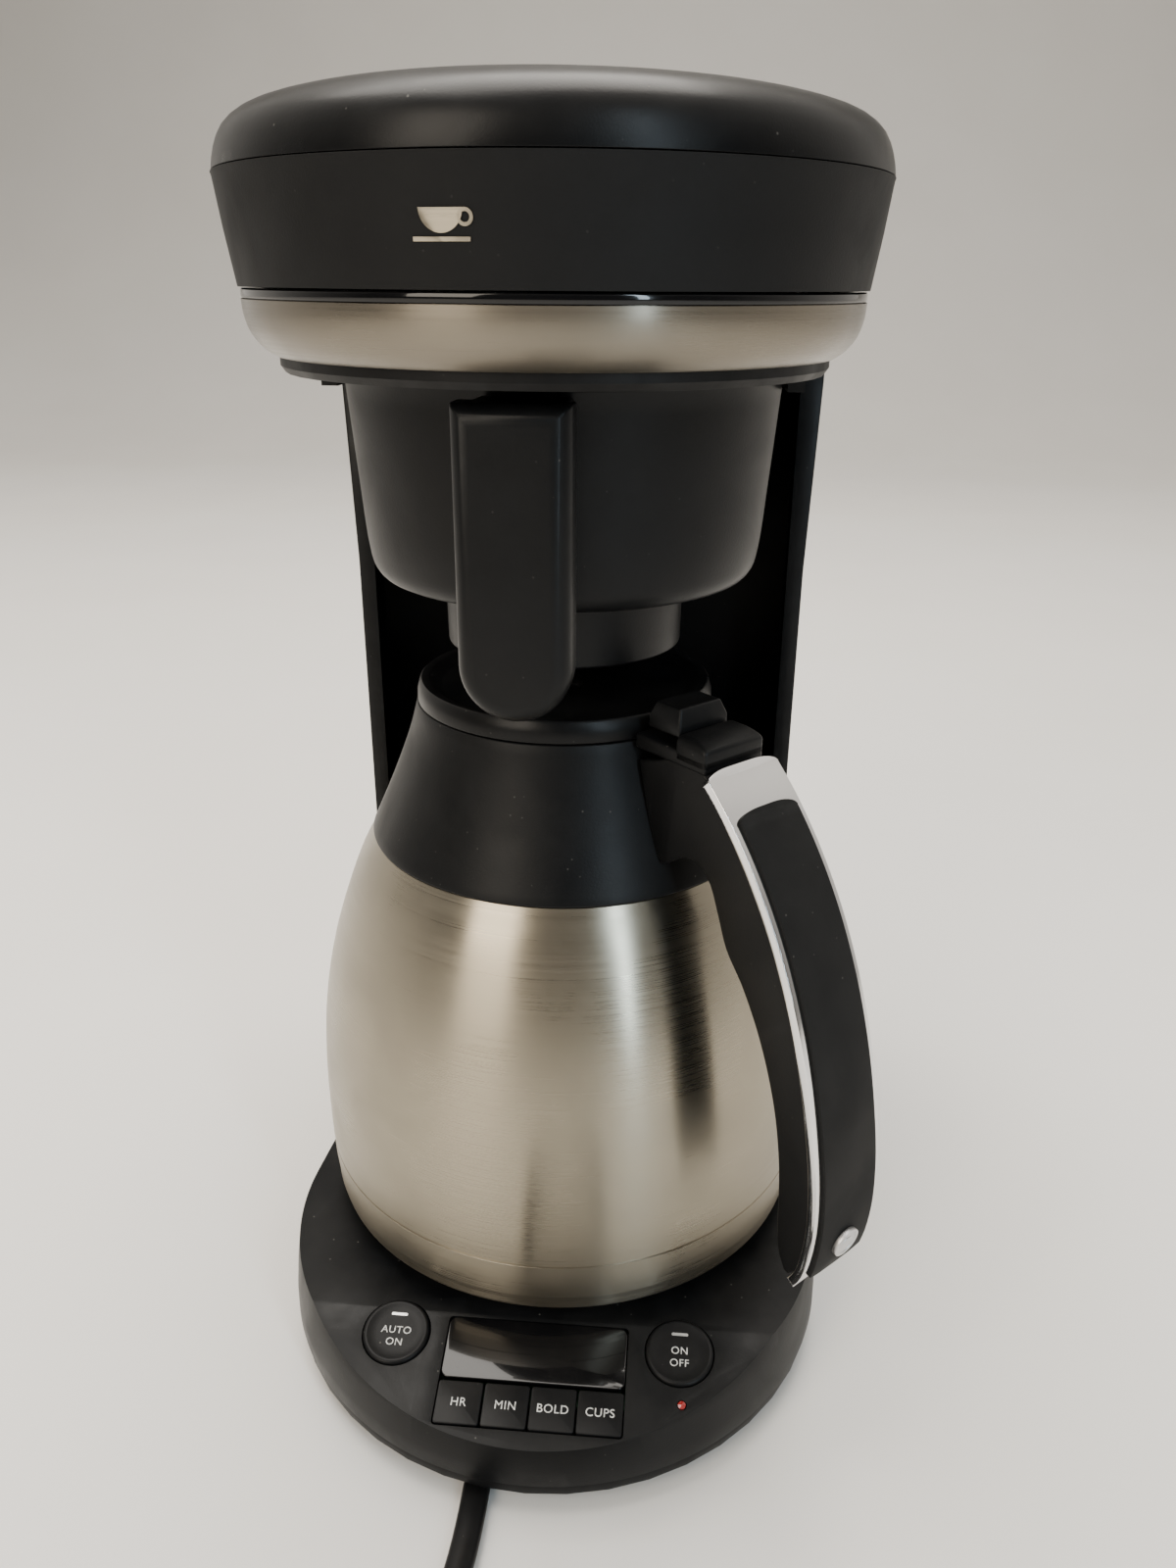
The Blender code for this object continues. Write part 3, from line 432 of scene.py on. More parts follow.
for turn in range(182, 936, 12):
    out = COIL_R + 2.4 * max((turn - 880) / 60, 0)
    angle = math.radians(turn)
    route.append((COIL_X + out * math.cos(angle), COIL_Y + out * math.sin(angle), coil_height(turn)))
route += [(10.5, -219.5, 11.5), (20, -223.6, 9.6), (30, -224.6, 7.2), (40.5, -224.6, 6.0)]
lead_path = [spot(*point) for point in flowing(route, 4.5)]

# %% Draw the cross-section and sweep it
outline = []
for side in (1, -1):
    for step in range(7):
        angle = math.radians(-72 + 24 * step)
        outline.append((side * (CORE_OUT + CORE_R * math.cos(angle)), side * CORE_R * math.sin(angle)))
section = bpy.data.curves.new("lead_section", "CURVE")
section.dimensions = "2D"
ring = section.splines.new("POLY")
ring.points.add(len(outline) - 1)
ring.use_cyclic_u = True
for point, (x, y) in zip(ring.points, outline):
    point.co = (x * MM, y * MM, 0, 1)
section_object = bpy.data.objects.new("lead_section", section)
bpy.context.scene.collection.objects.link(section_object)
sweep = bpy.data.curves.new("mains_lead", "CURVE")
sweep.dimensions, sweep.twist_mode = "3D", "Z_UP"
sweep.bevel_mode, sweep.bevel_object, sweep.use_fill_caps = "OBJECT", section_object, True
line = sweep.splines.new("POLY")
line.points.add(len(lead_path) - 1)
for point, place in zip(line.points, lead_path):
    point.co = (*place, 1)
lead = bpy.data.objects.new("mains_lead", sweep)
bpy.context.scene.collection.objects.link(lead)
only(lead)
bpy.ops.object.convert(target="MESH")
bpy.data.objects.remove(section_object)
close_up(lead)
only(lead)
bpy.ops.object.shade_smooth_by_angle(angle=math.radians(50))
keep(lead, "machine", lead_black, "cord_black", "power_cord", "power_cord_coil")


# %% [markdown]
# ## Turning a part on a lathe
# Round parts are made as a turner sees them. One circle is added at the first point of a profile, and
# its loop is pulled up and scaled to each next point. A profile that comes back to its start is joined
# into a ring, and an end on the centre line is closed with a pole.

# %% The lathe
def curved(profile, every=3.0):
    return [(point.x, point.y) for point in flowing([(r, z, 0) for r, z in profile], every)]


def close_pole(height, pole, middle):
    """Fills the open loop at a height, and puts the middle of the fan at the pole's height."""
    pick(lambda v: abs(v.co.z - height * MM) < 1e-6 and any(e.is_boundary for e in v.link_edges))
    bpy.ops.mesh.edge_face_add()
    bpy.ops.mesh.poke()
    centre = spot(*middle, height)
    pick(lambda v: (v.co - centre).length < 1e-5)
    bpy.ops.transform.translate(value=(0, 0, (pole - height) * MM))


def turned(name, profile, middle=POUR, steps=144, loop=False):
    first = 1 if profile[0][0] == 0 else 0
    last = len(profile) - (1 if profile[-1][0] == 0 else 0)
    rows = profile[first:last]
    nothing_selected()
    bpy.ops.mesh.primitive_circle_add(vertices=steps, radius=rows[0][0] * MM,
                                      location=spot(*middle, rows[0][1]))
    made = fresh(name)
    bpy.ops.object.mode_set(mode="EDIT")
    for (r0, z0), (r1, z1) in zip(rows, rows[1:]):
        bpy.ops.mesh.extrude_region_move(TRANSFORM_OT_translate={"value": (0, 0, (z1 - z0) * MM)})
        bpy.ops.transform.resize(value=(r1 / r0, r1 / r0, 1), center_override=spot(*middle, z1))
    if loop:
        bpy.ops.mesh.select_all(action="DESELECT")
        bpy.ops.mesh.select_mode(type="EDGE")
        bpy.ops.mesh.select_non_manifold()
        bpy.ops.mesh.bridge_edge_loops()
    if last < len(profile):
        close_pole(rows[-1][1], profile[-1][1], middle)
    if first:
        close_pole(rows[0][1], profile[0][1], middle)
    close_up(made)
    return made


# %% [markdown]
# ## The bent-band outline
# Seen from above, the head and the base are a big circle in front and two small round corners behind,
# held in one taut band. The circle is cut where the band leaves it, each end is pulled back to its
# corner, the corner is spun, and the two ends are joined across the back.

# %% Draw the outline and pull it through a profile
# front radius, its centre's y, half width at the back, y of the back, radius of the back corners
HEAD = (85.0, 0.0, 79.5, 170.0, 26.0)
BASE = (93.0, -6.0, 80.5, 170.0, 26.0)
COLUMN_FACE = 67.7              # y where the steel bowl and the polished line meet the column


def band_outline(name, shape, height, inset):
    radius, centre, half, back, corner = shape
    radius, half, back, corner = radius - inset, half - inset, back - inset, max(corner - inset, 4)
    hub = Vector((half - corner, back - corner - centre))
    side = math.atan2(hub.y, hub.x) - math.acos((radius - corner) / hub.length)
    nothing_selected()
    bpy.ops.mesh.primitive_circle_add(vertices=240, radius=radius * MM, location=spot(0, centre, height))
    made = fresh(name)
    bpy.ops.object.mode_set(mode="EDIT")
    bpy.ops.mesh.select_all(action="SELECT")
    bpy.ops.mesh.bisect(plane_co=spot(0, centre + radius * math.sin(side), height), plane_no=(0, 1, 0),
                        clear_outer=True)
    for sign in (1, -1):
        pick(lambda v: len(v.link_edges) == 1 and (v.co.x - HEAD_X) * sign > half * 0.6 * MM
             and v.co.y < spot(0, hub.y / 2, 0).y)
        tip = next(v.co.copy() for v in bmesh.from_edit_mesh(made.data).verts if v.select)
        start = spot(sign * (hub.x + corner * math.cos(side)), centre + hub.y + corner * math.sin(side),
                     height)
        bpy.ops.mesh.extrude_region_move(TRANSFORM_OT_translate={"value": start - tip})
        bpy.ops.mesh.spin(steps=10, dupli=False, angle=-sign * (math.pi / 2 - side), axis=(0, 0, 1),
                          center=spot(sign * hub.x, centre + hub.y, height))
    pick(lambda v: len(v.link_edges) == 1)
    bpy.ops.mesh.edge_face_add()
    bpy.ops.mesh.select_all(action="SELECT")
    return made


def banded(name, shape, steps, loop=False, caps=(False, False)):
    """Pulls the outline through (inset, height) steps and closes it as asked."""
    radius, centre, half, back, corner = shape
    deep, middle = (back - centre + radius) / 2, (back + centre - radius) / 2
    made = band_outline(name, shape, steps[0][1], steps[0][0])
    for (i0, z0), (i1, z1) in zip(steps, steps[1:]):
        bpy.ops.mesh.extrude_region_move(TRANSFORM_OT_translate={"value": (0, 0, (z1 - z0) * MM)})
        bpy.ops.transform.resize(value=((radius - i1) / (radius - i0), (deep - i1) / (deep - i0), 1),
                                 center_override=spot(0, middle, z1))
    if loop:
        bpy.ops.mesh.select_mode(type="EDGE")
        bpy.ops.mesh.select_all(action="DESELECT")
        bpy.ops.mesh.select_non_manifold()
        bpy.ops.mesh.bridge_edge_loops()
    for wanted, height in zip(caps, (steps[0][1], steps[-1][1])):
        if wanted:
            pick(lambda v: abs(v.co.z - height * MM) < 1e-6)
            bpy.ops.mesh.edge_face_add()
    close_up(made)
    return made


def trim_at(thing, place, normal, keep_inner=True):
    """Cuts a piece with a flat plane, drops one side and fills the cut."""
    only(thing)
    bpy.ops.object.mode_set(mode="EDIT")
    bpy.ops.mesh.select_all(action="SELECT")
    bpy.ops.mesh.bisect(plane_co=place, plane_no=normal, use_fill=True, clear_outer=keep_inner,
                        clear_inner=not keep_inner)
    close_up(thing)


def cut_with(thing, tool):
    """Cuts a piece with a tool, which is then thrown away."""
    modify(thing, "BOOLEAN", object=tool, operation="DIFFERENCE", solver="EXACT")
    bpy.data.objects.remove(tool)


# %% [markdown]
# ## The head
# From the top down the head is a domed lid, a matt ring that narrows downwards, a polished black line
# and a brushed steel bowl that curves in over the basket. Each is one outline pulled through its own
# profile. The lid gets its wall from a Solidify modifier, and its two hinge lugs are joined to it.

# %% The lid
crown = [(0, 365.0), (0.4, 367.6), (1.0, 370.0), (3.0, 374.3), (6.8, 377.6), (14.0, 380.2), (27.0, 382.2),
         (50.0, 383.8), (68.0, 384.3)]
lid = banded("lid_dome", HEAD, curved(crown, 2.5), caps=(False, True))
modify(lid, "SOLIDIFY", thickness=2.5 * MM, offset=-1)
HINGE_Y, HINGE_Z = 173.0, 366.5


def lug(name, low, high):
    """A round eye on the hinge line with a short arm to the body."""
    nothing_selected()
    bpy.ops.mesh.primitive_cylinder_add(vertices=32, radius=3 * MM, depth=(high - low) * MM,
                                        location=spot((low + high) / 2, HINGE_Y, HINGE_Z),
                                        rotation=(0, math.pi / 2, 0))
    made = fresh(name)
    bpy.ops.object.mode_set(mode="EDIT")
    pick(lambda f: f.normal.y < -0.5 and abs(f.normal.z) < 0.6, "faces")
    bpy.ops.mesh.extrude_region_move(TRANSFORM_OT_translate={"value": (0, -3.6 * MM, 0)})
    bpy.ops.object.mode_set(mode="OBJECT")
    return made


lid = join("lid_dome", lid, lug("lid_lug_left", -30, -22), lug("lid_lug_right", 22, 30))
soften(lid, 0.5, 3)
keep(lid, "lid", lid_black, "soft_black_plastic", "lid")

# %% The ring, the polished line and the steel bowl
collar = banded("head_collar", HEAD, [(3.5, 339.5), (1.6, 352.6), (0.25, 363.9), (0, 364.7), (2.6, 364.7),
                                      (6.1, 339.5)], loop=True)
ears = [lug(f"ear_{low}", low, low + 4.4) for low in (-35, 30.6)]
collar = join("head_collar", collar, *ears)
soften(collar, 0.45, 3)
keep(collar, "machine", matt_black, "soft_black_plastic", "head_ring")

stripe = banded("polished_line", HEAD, [(4.3, 336.9), (4.05, 337.4), (4.05, 338.7), (4.3, 339.2), (9, 339.2),
                                        (9, 336.9)], loop=True)
trim_at(stripe, spot(0, COLUMN_FACE, 0), (0, 1, 0))
soften(stripe, 0.25, 2, 50)
keep(stripe, "machine", gloss_black, "gloss_black_plastic", "head_band")

under = [(4.0, 336.7), (4.3, 333.0), (5.5, 329.0), (8.0, 325.4), (11.0, 323.2)]
lining = [(i + 0.9, z + 0.6) for i, z in reversed(curved(under, 1.2))]
bowl = banded("steel_bowl", HEAD, curved(under, 1.2) + lining, loop=True)
trim_at(bowl, spot(0, COLUMN_FACE, 0), (0, 1, 0))
soften(bowl, 0.2, 2, 50)
keep(bowl, "machine", shaded_bowl_steel, "brushed_steel", "head_bowl")

# %% [markdown]
# ## Parts that only need rounder edges
# Some frame parts already have the right shape, but their edges are knife sharp and their faces are
# loose triangles. A copy is merged into one skin, its flat triangles are dissolved into whole faces,
# and a small bevel gives every edge the radius that a mould leaves.


# %% Refine a frame part
def refined(name, source, width):
    made = bpy.data.objects.new(name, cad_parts[source].data.copy())
    bpy.context.scene.collection.objects.link(made)
    made.matrix_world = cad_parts[source].matrix_world
    only(made)
    bpy.ops.object.transform_apply(location=True, rotation=True, scale=True)
    bpy.ops.object.mode_set(mode="EDIT")
    bpy.ops.mesh.select_all(action="SELECT")
    bpy.ops.mesh.remove_doubles(threshold=0.00002)
    bpy.ops.mesh.dissolve_limited(angle_limit=math.radians(0.8))
    bpy.ops.object.mode_set(mode="OBJECT")
    if width:
        soften(made, width, 2)
    else:
        bpy.ops.object.shade_smooth_by_angle(angle=math.radians(38))
    return made


for name, source, width, body, finish, slot in (
        ("column", "column_shell", 0.6, "machine", satin_black, "soft_black_plastic"),
        ("base_underside", "base_plate", 0.4, "machine", satin_black, "soft_black_plastic"),
        ("drip_floor", "head_floor", 0.0, "machine", inner_black, "soft_black_plastic"),
        ("deck_under_lid", "upper_tray", 0.3, "machine", inner_black, "soft_black_plastic"),
        ("rain_plate", "shower_head", 0.3, "machine", inner_black, "soft_black_plastic"),
        ("filter_cup", "filter_basket", 0.0, "brew_basket", inner_black, "soft_black_plastic"),
        ("drip_plug", "drip_plunger", 0.2, "drip_stop", inner_black, "soft_black_plastic"),
        ("carafe_base", "carafe_foot", 0.5, "carafe", satin_black, "soft_black_plastic"),
        ("mains_plug", "power_plug", 0.6, "machine", lead_black, "cord_black"),
        ("coil_tie", "cord_tie", 0.15, "machine", black_rubber, "black_rubber")):
    keep(refined(name, source, width), body, finish, slot, source)

# %% [markdown]
# ## The brew basket
# The basket is a thick bowl with nearly straight sides that hangs from two rails under the head. Its
# collar reaches down over the flask. One closed profile, turned once, gives the outside, the collar
# and the inside wall.

# %% Turn the basket
side = curved([(62.3, 311.0), (60.6, 290.0), (58.7, 269.0), (57.4, 263.4), (55.2, 260.6), (52.0, 259.3)],
              1.6)
profile = ([(64.6, 318.8), (64.6, 317.0), (62.8, 316.8)] + side
           + [(37.4, 258.8), (36.5, 257.9), (36.2, 238.9), (35.6, 238.3), (34.2, 238.3), (34.2, 256.5),
              (6.0, 256.5), (6.0, 261.5), (51.5, 262.0), (55.6, 266.5), (60.3, 311.0), (60.6, 318.8)])
basket = turned("basket_bowl", profile, loop=True)
soften(basket, 0.35, 2)
keep(basket, "brew_basket", satin_black, "soft_black_plastic", "basket_shell")

# %% [markdown]
# ## The basket's handle
# The handle is a flat bar with a half-round foot, hung from a short arm, so that fingers fit behind
# it. A circle standing on edge is cut in half, its two ends are pulled up to the top, the outline is
# filled and given depth, and its front edge gets a wide soft bevel.

# %% Pull the handle from a half circle
BASKET_TURN = math.radians(-2.5)


def reach(out, across, height, turn):
    """A place on a handle: outwards from the pouring line, across the handle, and up."""
    return spot(POUR[0] + out * math.sin(turn) + across * math.cos(turn),
                POUR[1] - out * math.cos(turn) + across * math.sin(turn), height)


def shield(name, half, low, high, near, far, turn):
    """A bar with a round foot, between two distances from the pouring line."""
    outward = (reach(1, 0, 0, turn) - reach(0, 0, 0, turn)).normalized()
    nothing_selected()
    bpy.ops.mesh.primitive_circle_add(vertices=64, radius=half * MM, location=reach(near, 0, low, turn),
                                      rotation=(math.pi / 2, 0, turn))
    made = fresh(name)
    bpy.ops.object.mode_set(mode="EDIT")
    bpy.ops.mesh.select_all(action="SELECT")
    bpy.ops.mesh.bisect(plane_co=reach(near, 0, low, turn), plane_no=(0, 0, 1), clear_outer=True)
    pick(lambda v: len(v.link_edges) == 1)
    bpy.ops.mesh.extrude_region_move(TRANSFORM_OT_translate={"value": (0, 0, (high - low) * MM)})
    bpy.ops.mesh.select_all(action="SELECT")
    bpy.ops.mesh.edge_face_add()
    bpy.ops.mesh.extrude_region_move(TRANSFORM_OT_translate={"value": outward * (far - near) * MM})
    close_up(made)
    return made, outward


BAR_FACE = 88.3                 # the bar's front, out from the pouring line
bar, outward = shield("basket_bar", 14.2, 254.0, 316.0, 77.0, BAR_FACE, BASKET_TURN)
face_place = reach(BAR_FACE, 0, 280, BASKET_TURN)
only(bar)
bpy.ops.object.mode_set(mode="EDIT")
pick(lambda e: all((v.co - face_place).dot(outward) > -1e-6 for v in e.verts), "edges")
bpy.ops.mesh.bevel(offset=5.0 * MM, segments=8, affect="EDGES")
bpy.ops.object.mode_set(mode="OBJECT")
arm_part, _ = shield("basket_arm", 11.5, 309.0, 315.6, 62.6, 79.0, BASKET_TURN)
trim_at(arm_part, reach(70, 0, 303.0, BASKET_TURN), (0, 0, 1), keep_inner=False)
bar = join("basket_bar", bar, arm_part)
soften(bar, 0.6, 3, 40)
keep(bar, "brew_basket", satin_black, "soft_black_plastic", "basket_handle")

# %% [markdown]
# ## The flask
# The steel wall is widest below its middle and leans in towards the shoulder, and a fine groove runs
# round it above the foot. The shoulder is a black plastic cone, and the lid closes it with a shallow
# dish in its top. Steel and plastic meet in a fine line, so each is its own turned piece.

# %% Turn the flask's wall, shoulder and lid
upper = curved([(63.2, 175.0), (68.0, 166.0), (74.2, 150.0), (79.5, 132.5), (83.4, 112.0), (85.1, 90.0),
                (85.2, 72.0), (84.95, 61.4)], 3)
lower = curved([(84.9, 60.4), (84.6, 54.0), (83.8, 46.0), (83.2, 42.6), (82.2, 41.6)], 2)
inner = [(84.0, 46.0), (84.2, 72.0), (82.4, 112.0), (78.5, 132.5), (73.2, 150.0), (67.0, 166.0),
         (62.2, 175.0)]
groove = [(84.45, 61.2), (84.45, 60.6)]
wall = turned("flask_wall", upper + groove + lower + [(81.4, 42.0)] + inner, steps=192, loop=True)
only(wall)
bpy.ops.object.shade_smooth_by_angle(angle=math.radians(40))
keep(wall, "carafe", brushed_steel, "brushed_steel", "carafe_body")
cone = curved([(47.0, 219.0), (49.6, 209.5), (53.2, 199.5), (57.5, 189.0), (63.6, 175.5)], 3)
cone += [(62.6, 174.9), (60.5, 175.3), (55.0, 187.0), (50.5, 198.0), (47.0, 208.0), (43.0, 214.0),
         (43.0, 218.6)]
shoulder = turned("flask_shoulder", cone, loop=True)
soften(shoulder, 0.4, 3, 40)
keep(shoulder, "carafe", satin_black, "soft_black_plastic", "carafe_shoulder")
dish = [(0, 207.0), (37.0, 207.0), (38.0, 208.0), (38.0, 219.3), (46.8, 219.3), (46.9, 219.9), (46.8, 222.5),
        (46.0, 225.5), (45.4, 226.0), (43.2, 226.0), (42.6, 225.7), (39.6, 223.8), (38.8, 223.55),
        (20, 222.8), (6.0, 222.6), (4.5, 221.0), (4.5, 214.0), (0, 214.0)]
cap = turned("flask_lid", dish)
soften(cap, 0.3, 3, 40)
keep(cap, "carafe", lid_black, "soft_black_plastic", "carafe_lid")

# %% [markdown]
# ## The flask's handle
# The handle is drawn from the side. One edge, as long as the handle is thick, is pulled along it, and
# at each step its two ends are moved to their places. That flat strip is then given its width by a
# Solidify modifier, and its edges are rounded by a bevel. The chrome piece gets a shallow recess, and
# the soft grip fills it.

# %% Pull a strip along two lines
HANDLE_TURN = math.radians(44)
back_line = [(48.5, 214.0), (60.0, 218.0), (64.0, 221.0), (70.0, 221.0), (75.6, 217.5), (85.6, 207.5),
             (95.0, 195.8), (104.0, 181.5), (112.0, 164.5), (118.2, 146.5), (122.6, 128.0), (125.4, 110.0),
             (125.8, 94.0), (123.4, 80.0), (119.8, 73.5)]
palm_line = [(53.5, 196.0), (59.5, 184.5), (66.0, 189.0), (74.0, 190.5), (79.0, 186.5), (83.0, 178.0),
             (87.0, 168.5), (94.0, 159.5), (102.0, 145.5), (108.6, 128.0), (112.0, 112.0), (113.2, 100.0),
             (113.8, 88.0), (115.0, 79.5), (117.6, 74.2)]


def evenly(points, count):
    """A line of (out, up) points as count points, evenly spaced."""
    line = curved(points, 0.8)
    runs = [0.0]
    for a, b in zip(line, line[1:]):
        runs.append(runs[-1] + math.dist(a, b))
    made, at = [], 0
    for i in range(count):
        goal = runs[-1] * i / (count - 1)
        while at < len(runs) - 2 and runs[at + 1] < goal:
            at += 1
        share = (goal - runs[at]) / max(runs[at + 1] - runs[at], 1e-9)
        made.append(tuple(a + (b - a) * share for a, b in zip(line[at], line[at + 1])))
    return made


def offset(points, distance):
    """The same line moved square to itself, outwards where distance is above nought."""
    made = []
    for i, point in enumerate(points):
        ahead, behind = points[min(i + 1, len(points) - 1)], points[max(i - 1, 0)]
        run = Vector((ahead[0] - behind[0], ahead[1] - behind[1])).normalized()
        made.append((point[0] - run.y * distance, point[1] + run.x * distance))
    return made


def strip(name, outer, inner, half_width):
    nothing_selected()
    bpy.ops.mesh.primitive_plane_add(size=0.01)
    made = fresh(name)
    bpy.ops.object.mode_set(mode="EDIT")
    pick(lambda v: v.co.x > 0)
    bpy.ops.mesh.delete(type="VERT")
    bpy.ops.mesh.select_all(action="SELECT")
    last = None
    for pair in zip(outer, inner):
        goals = [reach(out, 0, up, HANDLE_TURN) for out, up in pair]
        if last:
            bpy.ops.mesh.extrude_region_move()
        ends = [v.co.copy() for v in bmesh.from_edit_mesh(made.data).verts if v.select]
        if last and (ends[0] - last[0]).length > (ends[1] - last[0]).length:
            ends.reverse()
        indices = [v.index for v in sorted((v for v in bmesh.from_edit_mesh(made.data).verts if v.select),
                                           key=lambda v: (v.co - ends[0]).length)]
        for index, here, goal in zip(indices, ends, goals):
            pick(lambda v: v.index == index)
            bpy.ops.transform.translate(value=goal - here)
        pick(lambda v: v.index in indices)
        last = goals
    close_up(made)
    modify(made, "SOLIDIFY", thickness=2 * half_width * MM, offset=0)
    close_up(made)
    return made


def round_ends(thing, outer, inner, half_width, radius):
    """Rounds the four corners of a strip, as seen from behind the hand."""
    only(thing)
    bpy.ops.object.mode_set(mode="EDIT")
    corners = [reach(line[end][0], side * half_width, line[end][1], HANDLE_TURN)
               for end in (0, -1) for line in (outer, inner) for side in (-1, 1)]
    pick(lambda e: all(min((v.co - c).length for c in corners) < 2e-5 for v in e.verts)
         and e.calc_length() < half_width * MM, "edges")
    bpy.ops.mesh.bevel(offset=radius * MM, segments=8, affect="EDGES")
    bpy.ops.object.mode_set(mode="OBJECT")


ROWS = 60                       # how many steps a handle piece has along its length
core = strip("handle_core", evenly(back_line, ROWS), evenly(palm_line, ROWS), 11.0)
soften(core, 3.4, 5, 50)
keep(core, "carafe", satin_black, "soft_black_plastic", "carafe_handle")

# %% The chrome edge and the soft grip let into it
def rounded_strip(name, line, far, near, half_width, radius):
    """A strip between two distances from a line, with round corners."""
    made = strip(name, offset(line, far), offset(line, near), half_width)
    round_ends(made, offset(line, far), offset(line, near), half_width, radius)
    return made


arc = evenly(back_line[4:], ROWS)
trim = rounded_strip("handle_chrome", arc, 3.2, 0.3, 13.6, 9.0)
soften(trim, 0.9, 4, 40)
inset_arc = arc[5:-2]
cut_with(trim, rounded_strip("recess", inset_arc, 5.0, 1.6, 11.3, 8.5))
only(trim)
bpy.ops.object.shade_smooth_by_angle(angle=math.radians(35))
keep(trim, "carafe", chrome, "chrome", "handle_trim")
pad = rounded_strip("handle_pad", inset_arc, 4.4, 1.8, 11.1, 8.3)
soften(pad, 1.7, 5, 40)
keep(pad, "carafe", grip_black, "black_rubber", "handle_grip")

# %% [markdown]
# ## The thumb lever and the round badge
# A press of the thumb on the lever lets coffee out of the lid. It is a block that narrows to its top,
# so a cube is scaled, its top face is drawn in and a shallow thumb rest is set into it. It stands on a
# flat shelf, and its hinge is under a low rounded hood. The badge near the handle's foot is a short
# cylinder with a ring sunk into its face.

# %% Shape the lever
def brick(name, middle, size):
    """A cube scaled to a size, both in millimetres."""
    nothing_selected()
    bpy.ops.mesh.primitive_cube_add(size=1, location=spot(*middle), scale=[side * MM for side in size])
    return fresh(name)


def into_handle(thing):
    """Moves a piece drawn round the head's line out to the handle's own directions."""
    turn = Matrix.Rotation(HANDLE_TURN - math.pi / 2, 4, "Z")
    thing.matrix_world = Matrix.Translation(reach(0, 0, 0, 0)) @ turn @ Matrix.Translation(-spot(0, 0, 0))
    only(thing)
    bpy.ops.object.transform_apply(location=True, rotation=True, scale=True)
    return thing


lever = brick("pour_lever", (57.0, 0, 226.2), (13, 19, 3.4))
bpy.ops.object.mode_set(mode="EDIT")
pick(lambda f: f.normal.z > 0.5, "faces")
bpy.ops.mesh.extrude_region_move(TRANSFORM_OT_translate={"value": (0, 0, 4.7 * MM)})
bpy.ops.transform.resize(value=(0.76, 0.82, 1), center_override=spot(56.9, 0, 232.6))
bpy.ops.mesh.inset(thickness=1.3 * MM, depth=-0.5 * MM)
bpy.ops.object.mode_set(mode="OBJECT")
lever = into_handle(lever)
soften(lever, 0.8, 3)
keep(lever, "thumb_lever", satin_black, "soft_black_plastic", "thumb_lever")
shelf = brick("shelf", (61.6, 0, 219.9), (28.6, 23, 4.6))
hood = brick("hood", (69.9, 0, 221.6), (12, 23, 6.0))
bpy.ops.object.mode_set(mode="EDIT")
pick(lambda f: f.normal.z > 0.5, "faces")
bpy.ops.mesh.extrude_region_move(TRANSFORM_OT_translate={"value": (0, 0, 1.8 * MM)})
bpy.ops.transform.resize(value=(0.55, 0.86, 1), center_override=spot(64.4, 0, 226.4))
bpy.ops.object.mode_set(mode="OBJECT")
hood = into_handle(join("lever_hood", shelf, hood))
soften(hood, 1.0, 4)
keep(hood, "carafe", satin_black, "soft_black_plastic")

# %% Sink a ring into the badge and stand it on the handle
BADGE_OUT, BADGE_UP = 129.6, 88.0
nothing_selected()
bpy.ops.mesh.primitive_cylinder_add(vertices=64, radius=4.8 * MM, depth=1.4 * MM, location=spot(0, 0, 0.7))
badge = fresh("handle_badge")
bpy.ops.object.mode_set(mode="EDIT")
pick(lambda f: f.normal.z > 0.5, "faces")
for thickness, depth in ((0.9, 0), (0.15, -0.3), (1.5, 0), (0.15, 0.3)):
    bpy.ops.mesh.inset(thickness=thickness * MM, depth=depth * MM)
bpy.ops.object.mode_set(mode="OBJECT")
(out_above, above), (out_below, below) = back_line[-3:-1]
lean = math.atan2(out_above - out_below, above - below)
badge.matrix_world = (Matrix.Translation(reach(BADGE_OUT, 0, BADGE_UP, HANDLE_TURN))
                      @ Matrix.Rotation(HANDLE_TURN - math.pi / 2, 4, "Z")
                      @ Matrix.Rotation(math.pi / 2 + lean, 4, "Y") @ Matrix.Translation(-spot(0, 0, 0)))
only(badge)
bpy.ops.object.transform_apply(location=True, rotation=True, scale=True)
soften(badge, 0.12, 2)
keep(badge, "carafe", aluminium, "plain_steel", "medallion")

# %% [markdown]
# ## The base
# The base is a low drum that follows the same bent-band outline. Its front is sliced by a sloped
# plane for the controls. It is hollow, so a smaller copy of the same shape is taken out of it, then
# the round seat, the window for the display and the button holes are cut before the edges are rounded.

# %% Slice and hollow the base
TILT = math.radians(13)
WINDOW_HALF = 28.5              # half the width of the display and of the row of keys
KEY_UP, KEY_HALF, KEY_SPLIT = -10.9, 6.5, 0.5
BUTTON_X, BUTTON_UP = 45, 9.6
HOLE_DEPTH = 5.6
panel = Matrix.Translation(spot(0, -75.5, 30.675)) @ Matrix.Rotation(TILT, 4, "X")
slope = panel.to_3x3() @ Vector((0, 0, 1))


def on_panel(thing):
    """Moves a piece drawn flat round the head's line on to the sloped panel."""
    thing.matrix_world = panel @ Matrix.Translation(-spot(0, 0, 0))
    only(thing)
    bpy.ops.object.transform_apply(location=True, rotation=True, scale=True)
    return thing


def pillow(name, half_x, half_y, corner, low, high, middle=(0, 0)):
    """A block with four round corners, from a cube whose upright edges are bevelled."""
    nothing_selected()
    bpy.ops.mesh.primitive_cube_add(size=1, location=spot(*middle, (low + high) / 2),
                                    scale=(2 * half_x * MM, 2 * half_y * MM, (high - low) * MM))
    made = fresh(name)
    bpy.ops.object.mode_set(mode="EDIT")
    pick(lambda e: abs(e.verts[0].co.z - e.verts[1].co.z) > 1e-5, "edges")
    bpy.ops.mesh.bevel(offset=corner * MM, segments=6, affect="EDGES")
    bpy.ops.object.mode_set(mode="OBJECT")
    return made


